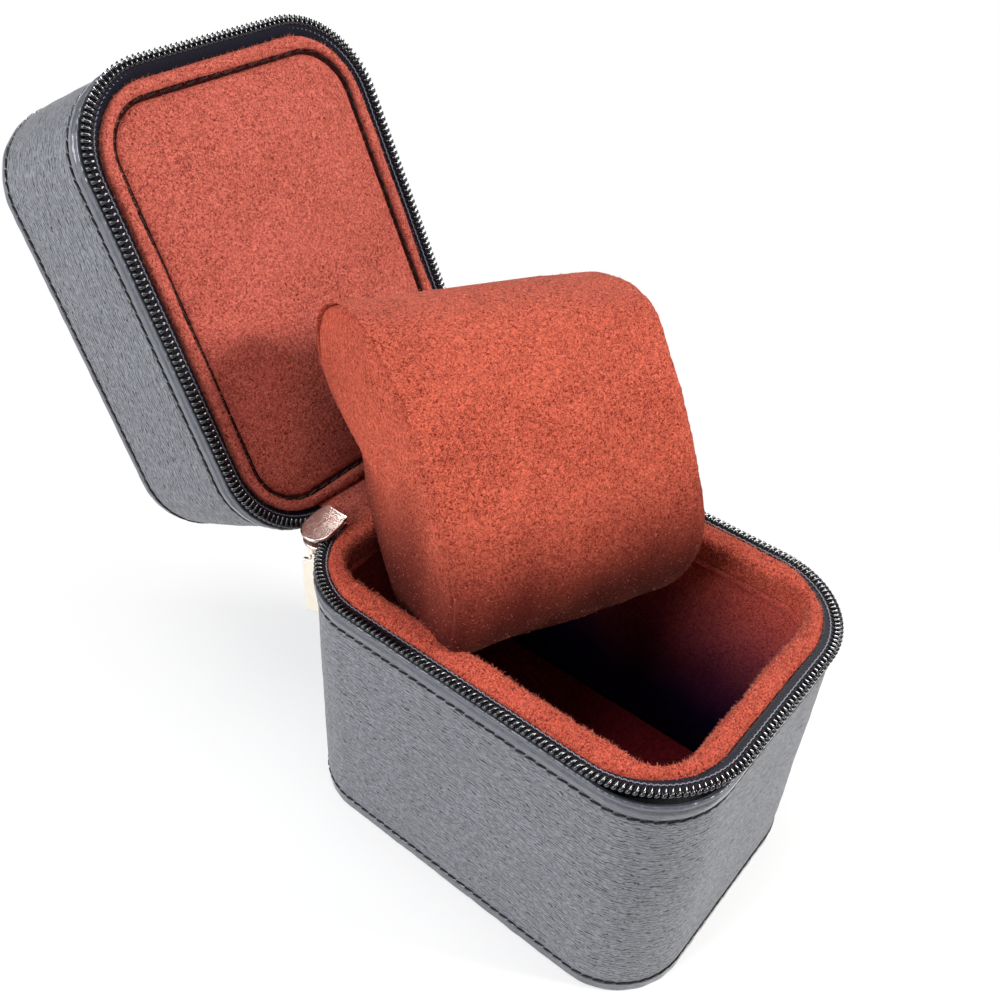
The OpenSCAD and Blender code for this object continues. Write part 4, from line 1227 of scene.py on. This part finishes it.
# %% [markdown]
# ## Cushion
# The watch is strapped round a loose cushion with a C-shaped end: a bowed front, two round lobes
# and a hollow back with a slit, so that it squeezes into the strap. A wrap of suede goes round it
# and a small panel closes each end. At the upper lobe the wrap stands over the panel as a hood
# with a sharp seam, and lower down the stuffing pushes the seam out until the edge is only round.
# The shape is a profile carried from end to end. It is made as full as the stuffed cushion looks,
# fuller than the solid that stands for it, and it is pressed shorter as it goes into the well.

# %% Cushion profile
CUSHION_PLACE = np.array([5.2, 22.2, 88.9])
CUSHION_YAW, CUSHION_TILT = np.radians([-23.5, -42.1])
CUSHION_L, CUSHION_LONG, CUSHION_T = 59.0, 73.2, 33.4
CUSHION_BOW, CUSHION_ROUND = 9.3, 15.5
SLIT_D, SLIT_W, SLIT_Z = 6.0, 2.2, 12.0
FLARE, HOOD_LIFT, SADDLE = 0.05, 2.7, 2.0
MIDDLE_Y = -4.6


def cushion_outline(count):
    """The closed end outline as y, z: squeezed round at both long ends, bowed, with a slit."""
    t = (1 - np.cos(np.linspace(0, np.pi, 900))) / 2
    z = CUSHION_LONG * (t - 0.5)
    arch = 4 * t * (1 - t)
    depth = np.minimum(t, 1 - t) * CUSHION_LONG
    shy = np.clip((CUSHION_ROUND - depth) / CUSHION_ROUND, 0, 1)
    narrow = CUSHION_T / 2 * (1 - np.sqrt(1 - shy ** 2))
    front = narrow - CUSHION_T / 2 - CUSHION_BOW * arch
    slit = SLIT_D * np.clip(1 - np.abs(z - SLIT_Z) / SLIT_W, 0, 1) ** 0.7
    hollow = 0.78 * CUSHION_BOW * np.exp(-((z - SLIT_Z) / 9.5) ** 2)
    back = CUSHION_T / 2 - narrow - hollow - slit
    loop = np.concatenate([np.stack([front, z], -1), np.stack([back, z], -1)[::-1][1:-1]])
    return spaced(loop, np.linalg.norm(np.diff(loop, axis=0), axis=1).sum() / count)


EDGE_ROUND = 4.2
SEAM_SHARE, PANEL_SHARE = 0.925, 0.86
SEAM_DEPTH, SEAM_W, RIDGE_LIFT = 1.9, 0.014, 0.8


def bell(value, middle, width):
    """A bell curve of height 1 about middle."""
    return np.exp(-((value - middle) / width) ** 2)


def end_section():
    """Rows from the pole of one end to the middle: share of the outline, reach along x, seam."""
    panel = np.linspace(0, PANEL_SHARE, 34)
    half = np.array([0.006, 0.012, 0.02, 0.03])
    near_seam = SEAM_SHARE + np.r_[-0.045, -half[::-1], 0, half]
    rim = 1 - 0.055 * np.array([0.62, 0.42, 0.26, 0.14, 0.06, 0.015])
    share = np.r_[panel, near_seam, rim]
    start = 1 - 0.16
    edge = np.clip((share - start) / (1 - start), 0, 1)
    fall = EDGE_ROUND * (1 - np.sqrt(1 - edge ** 2))
    swell = 1.1 * (1 - np.clip(share / PANEL_SHARE, 0, 1) ** 3)
    seam = RIDGE_LIFT * bell(share, 0.965, 0.02) - SEAM_DEPTH * bell(share, SEAM_SHARE, SEAM_W)
    seam = seam - 0.5 * bell(share, 0.89, 0.03)
    reach = np.arange(EDGE_ROUND + 0.5, CUSHION_L / 2, 0.6)
    return np.r_[share, 1 + 0 * reach], np.r_[swell - fall, -reach], np.r_[seam, 0 * reach]


print("cushion outline", len(cushion_outline(340)), "points")

# %% Cushion mesh
HOOD_LEAST, HOOD_FROM, HOOD_SOFT = 0.16, 17.5, 3.4
HOOD_SQUARE, CUSHION_PUFF = 0.75, 0.34


def cushion_points():
    """Points[row, around] in the cushion's own frame: x along it, y through it, z its long side.
    The outline is drawn in to each end's pole, then lifted by the hood, sunk by the saddle and
    pushed away from the middle by waves and a nap."""
    share, along, seam = end_section()
    loop = cushion_outline(340)
    side = np.r_[-np.ones(len(share)), np.ones(len(share))][:, None]
    share = np.r_[share, share[::-1]][:, None]
    along, seam = np.r_[along, along[::-1]][:, None], np.r_[seam, seam[::-1]][:, None]
    hood = HOOD_LEAST + (1 - HOOD_LEAST) / (1 + np.exp(-(loop[:, 1] - HOOD_FROM) / HOOD_SOFT))
    x = side * (CUSHION_L / 2 + along * (1 - 0.55 * hood * (share > 0.8)) + seam * hood)
    hood = np.where(side < 0, hood, 0.4 * hood)
    x = x * (1 + FLARE * hood)
    middle = np.array([MIDDLE_Y, 0.0])
    squarer = share + (1 - share) * HOOD_SQUARE * hood * np.clip((share - 0.6) / 0.3, 0, 1)
    waist = 1 - 0.01 * (2 * np.abs(x) / CUSHION_L) ** 2
    flat = middle + (squarer * waist)[..., None] * (loop - middle)
    upper = np.clip((loop[:, 1] + 2) / 30, 0, 1)
    flat[..., 1] += HOOD_LIFT * upper * (0.45 - 2 * x / CUSHION_L)
    flat[..., 1] -= SADDLE * upper * bell(x, -6.0, 17.0)
    points = np.concatenate([x[..., None], flat], -1)
    away = points - np.array([0, MIDDLE_Y, 0])
    away[..., 0] *= 0.35
    away /= np.linalg.norm(away, axis=-1)[..., None] + 1e-9
    on_skin = np.clip(share * 3, 0, 1)
    lift = CUSHION_PUFF * ripple(points, 26, 61) + 0.12 * ripple(points, 9, 62) + nap(points, 63, 0.05)
    lift = lift * on_skin + bell(share, 0.95, 0.03) * 0.12 * ripple(points, 3.0, 64)
    return points + away * lift[..., None]


def place_cushion(points):
    """Leans the cushion back, turns it in plan and puts it in the mouth of the well."""
    y, z = turned(points[..., 1], points[..., 2], CUSHION_TILT)
    x, y = turned(points[..., 0], y, CUSHION_YAW)
    return np.stack([x, y, z], -1) + CUSHION_PLACE


CUSHION_FILL, CUSHION_KEEP, CUSHION_HAIRS = 0.85, 0.86, 14000

cushion_grid = place_cushion(cushion_points())
cushion = surface("watch_cushion", cushion_grid, "suede_cushion", False, True)
attach(cushion, "cushion", "cushion_cover", "cushion_end_left", "cushion_end_right")
cushion_pile = fibres("watch_cushion_pile", cushion_grid[8:-8], CUSHION_HAIRS, 0.7, 91, "cushion", -1.0)
for obj in (cushion, cushion_pile):
    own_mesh(obj)
print("cushion faces", len(cushion.data.polygons))

# %% [markdown]
# ## Slider and pull
# The slider is a small casting: two plates joined by a post, round where the coils go in and
# narrow where they leave closed. The upper plate is polished, with a rolled edge and fine ridges.
# Its outline is drawn in ring by ring, and each ring has its own height, so that the edge is
# round like a cast and tumbled one.

# %% Place of the slider
SLIDER_LOW, SLIDER_HIGH = span("slider_body")[0][2], span("slider_body")[1][2]
COIL_R = 22.9
SLIDER_PLACE = np.array([-(HALF_W + COIL_OUT - COIL_R), HALF_D + COIL_OUT - COIL_R])
SLIDER_TURN, SLIDER_TIP_UP = np.radians([22.0, 11.0])
SLIDER_L, SLIDER_AHEAD, SLIDER_MID, SLIDER_RAISE = 11.3, 1.9, 0.6, 0.45


def place_slider(points):
    """From the slider's own frame, x along the zip and y outwards, to its place on the corner."""
    x, y = turned(points[..., 0], points[..., 1] + COIL_R, SLIDER_TURN)
    return np.stack([SLIDER_PLACE[0] + x, SLIDER_PLACE[1] + y, points[..., 2]], -1)


def tip_up(points):
    """Tips the slider up towards its tail, as the closed end of the zip lifts it, and turns it
    about its own middle until it lies along the back."""
    x, z = turned(points[..., 0] + SLIDER_L / 2, points[..., 2] - SLIDER_LOW, SLIDER_TIP_UP)
    x, y = turned(x - SLIDER_L / 2 + SLIDER_AHEAD, points[..., 1], -SLIDER_TURN)
    return place_slider(np.stack([x, y, z + SLIDER_LOW + SLIDER_RAISE], -1))


print("slider stands at", np.round(SLIDER_PLACE, 2))

# %% Slider plates
PLATE_T = 0.9
HEAD_HALF, TAIL_HALF, TAIL_SHORT, WAIST_X = 3.9, 3.2, 1.3, 1.6
HEAD_ROUND, WAIST_ROUND, TAIL_ROUND = 3.7, 2.6, 0.7


def slider_outline(inner=None):
    """A broad round head and a shorter, square-cut tail, as a closed line."""
    head, tail = -SLIDER_L / 2, SLIDER_L / 2 - TAIL_SHORT
    corners = [(head, SLIDER_MID + HEAD_HALF), (head, SLIDER_MID - HEAD_HALF),
               (WAIST_X, SLIDER_MID - HEAD_HALF), (tail, SLIDER_MID - TAIL_HALF),
               (tail, SLIDER_MID + TAIL_HALF), (WAIST_X, SLIDER_MID + HEAD_HALF)]
    radii = [HEAD_ROUND, HEAD_ROUND, WAIST_ROUND, TAIL_ROUND, TAIL_ROUND, WAIST_ROUND]
    line = spaced(rounded(corners, radii, 0.2), 0.16)
    middle = np.array([-1.0, SLIDER_MID])
    if inner is not None:
        line[:, 1] = np.maximum(line[:, 1], inner)
        middle = np.array([-1.0, (inner + SLIDER_MID + HEAD_HALF) / 2])
    return line, middle


def drawn_in(line, middle, share, level):
    """Points[ring, around]: the outline drawn in towards its middle by share, at each level."""
    flat = middle + share[:, None, None] * (line - middle)
    return np.concatenate([flat, np.broadcast_to(level[:, None, None], flat.shape[:2] + (1,))], -1)


def plate(name, line, middle, low, high, roll, dome):
    """A plate with rolled edges: rings from the middle of the top over the edge to the bottom."""
    angle = np.linspace(np.pi / 2, -np.pi / 2, 11)
    size = np.ptp(line, axis=0).min() / 2
    edge = 1 - roll / size * (1 - np.cos(angle))
    inner = np.linspace(0.0, 1 - roll / size, 12, endpoint=False)
    share = np.r_[inner, edge, inner[::-1]]
    half = (high - low) / 2
    level = np.r_[high + dome * (1 - (inner / inner[-1]) ** 2), (high + low) / 2 + half * np.sin(angle),
                  np.full(len(inner), low)]
    points = tip_up(drawn_in(line, middle, share, level))
    return attach(surface(name, points, "slider_metal", False, True), "slider")


upper_plate = plate("slider_upper_plate", *slider_outline(), SLIDER_HIGH - PLATE_T, SLIDER_HIGH, 0.45, 0.12)
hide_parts("slider_body")
plate("slider_lower_plate", *slider_outline(0.4 - COIL_W), SLIDER_LOW, SLIDER_LOW + PLATE_T, 0.35, 0.0)
print("slider plates", len(upper_plate.data.polygons))

# %% Post and ridges of the slider
def bar(name, corners, radii, low, high, finish, body, place, roll):
    """A prism with a rounded outline and slightly rolled edges, from low to high."""
    line = spaced(rounded(corners, radii, 0.12), 0.14)
    size = np.ptp(line, axis=0).min() / 2
    angle = np.linspace(np.pi / 2, 0, 5)
    edge = 1 - roll / size * (1 - np.cos(angle))
    share = np.r_[0, 0.5, edge, edge[::-1], 0.5, 0]
    top = high - roll + roll * np.sin(angle)
    bottom = low + roll - roll * np.sin(angle[::-1])
    level = np.r_[high, high, top, bottom, low, low]
    points = place(drawn_in(line, line.mean(0), share, level))
    return attach(surface(name, points, finish, False, True), body)


RIDGE_HALF, RIDGE_SUNK = 0.13, 0.2
for name, left, right, front, back, corner, low, high, roll in (
        ("slider_post", -1.2, 1.2, 0.6, 1.8, 0.4, SLIDER_LOW + 0.3, SLIDER_HIGH - 0.3, 0.12),
        ("slider_ridge_1", 2.7 - RIDGE_HALF, 2.7 + RIDGE_HALF, SLIDER_MID - 2.6, SLIDER_MID + 2.6, 0.12,
         SLIDER_HIGH - RIDGE_SUNK, SLIDER_HIGH + 0.14, 0.1),
        ("slider_ridge_2", 3.5 - RIDGE_HALF, 3.5 + RIDGE_HALF, SLIDER_MID - 2.4, SLIDER_MID + 2.4, 0.12,
         SLIDER_HIGH - RIDGE_SUNK, SLIDER_HIGH + 0.14, 0.1),
        ("slider_long_ridge", -3.0, 2.0, SLIDER_MID - 0.2, SLIDER_MID + 0.1, 0.13,
         SLIDER_HIGH - RIDGE_SUNK, SLIDER_HIGH + 0.2, 0.1)):
    bar(name, [(left, front), (right, front), (right, back), (left, back)], [corner] * 4, low, high,
        "slider_metal", "slider", tip_up, roll)
print("post and ridges are made")

# %% [markdown]
# ## Pull
# The pull is a flat satin bar with rounded lower corners, a narrow neck and softened edges. It
# hangs from the link beside the corner, with its broad side to the front.

# %% Pull bar
PULL_Y, PIN_Z = 2.1, SLIDER_LOW - 0.9
PULL_LEFT, PULL_RIGHT, PULL_TOP, PULL_FOOT = 3.1, -1.9, -4.9, -21.0
NECK_TOP, NECK_HALF, NECK_FOOT_HALF, PULL_HALF_T = -3.0, 0.75, 0.85, 0.6


def place_pull(points):
    """From an outline seen from the front, with its level as depth, to its place under the pin."""
    return place_slider(np.stack([points[..., 2], points[..., 0] + PULL_Y, points[..., 1] + PIN_Z], -1))


pull_corners = [(PULL_RIGHT, PULL_FOOT), (PULL_LEFT, PULL_FOOT), (PULL_LEFT, PULL_TOP),
                (NECK_FOOT_HALF, PULL_TOP), (NECK_HALF, NECK_TOP), (-NECK_HALF, NECK_TOP),
                (-NECK_FOOT_HALF, PULL_TOP), (PULL_RIGHT, PULL_TOP)]
pull_bar = bar("pull_bar", pull_corners, [1.1, 1.1, 0.5, 0.15, 0.4, 0.4, 0.15, 0.5], -PULL_HALF_T,
               PULL_HALF_T, "pull_metal", "pull", place_pull, 0.25)
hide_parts("pull_tab")
print("pull bar", len(pull_bar.data.polygons))

# %% [markdown]
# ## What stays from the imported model
# Small parts whose true shape is already right keep their own mesh and get a finish: the boards and
# foams inside, the underside, the lid's outer panel, the bead and sleeve of the hinge, the end
# stops of the zip, the bridge and the link.

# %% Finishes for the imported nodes
KEPT = {
    "board": ["base_board", "lid_board"],
    "foam": ["base_foam_wall", "lid_foam", "cushion_core"],
    "leather_flat": ["base_underside", "lid_top_panel", "hinge_leather", "hinge_flap"],
    "slider_metal": ["zip_end_stops"],
    "pull_metal": ["slider_bridge", "pull_link"],
}
for finish, nodes in KEPT.items():
    for node in nodes:
        mesh = frame["nodes"][node].data
        mesh.materials.clear()
        mesh.materials.append(finishes[finish])
print("kept nodes", sum(len(nodes) for nodes in KEPT.values()))

# %% [markdown]
# ## Sizes and the end
# The two boxes tell whether the looks have grown past the construction.

# %% Growth past the imported model, and the end
new_box = [list(corner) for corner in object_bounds()]
growth = [round((b - a) / MM, 2) for a, b in zip(sum(cad_box, []), sum(new_box, []))]
print("grown by", growth)
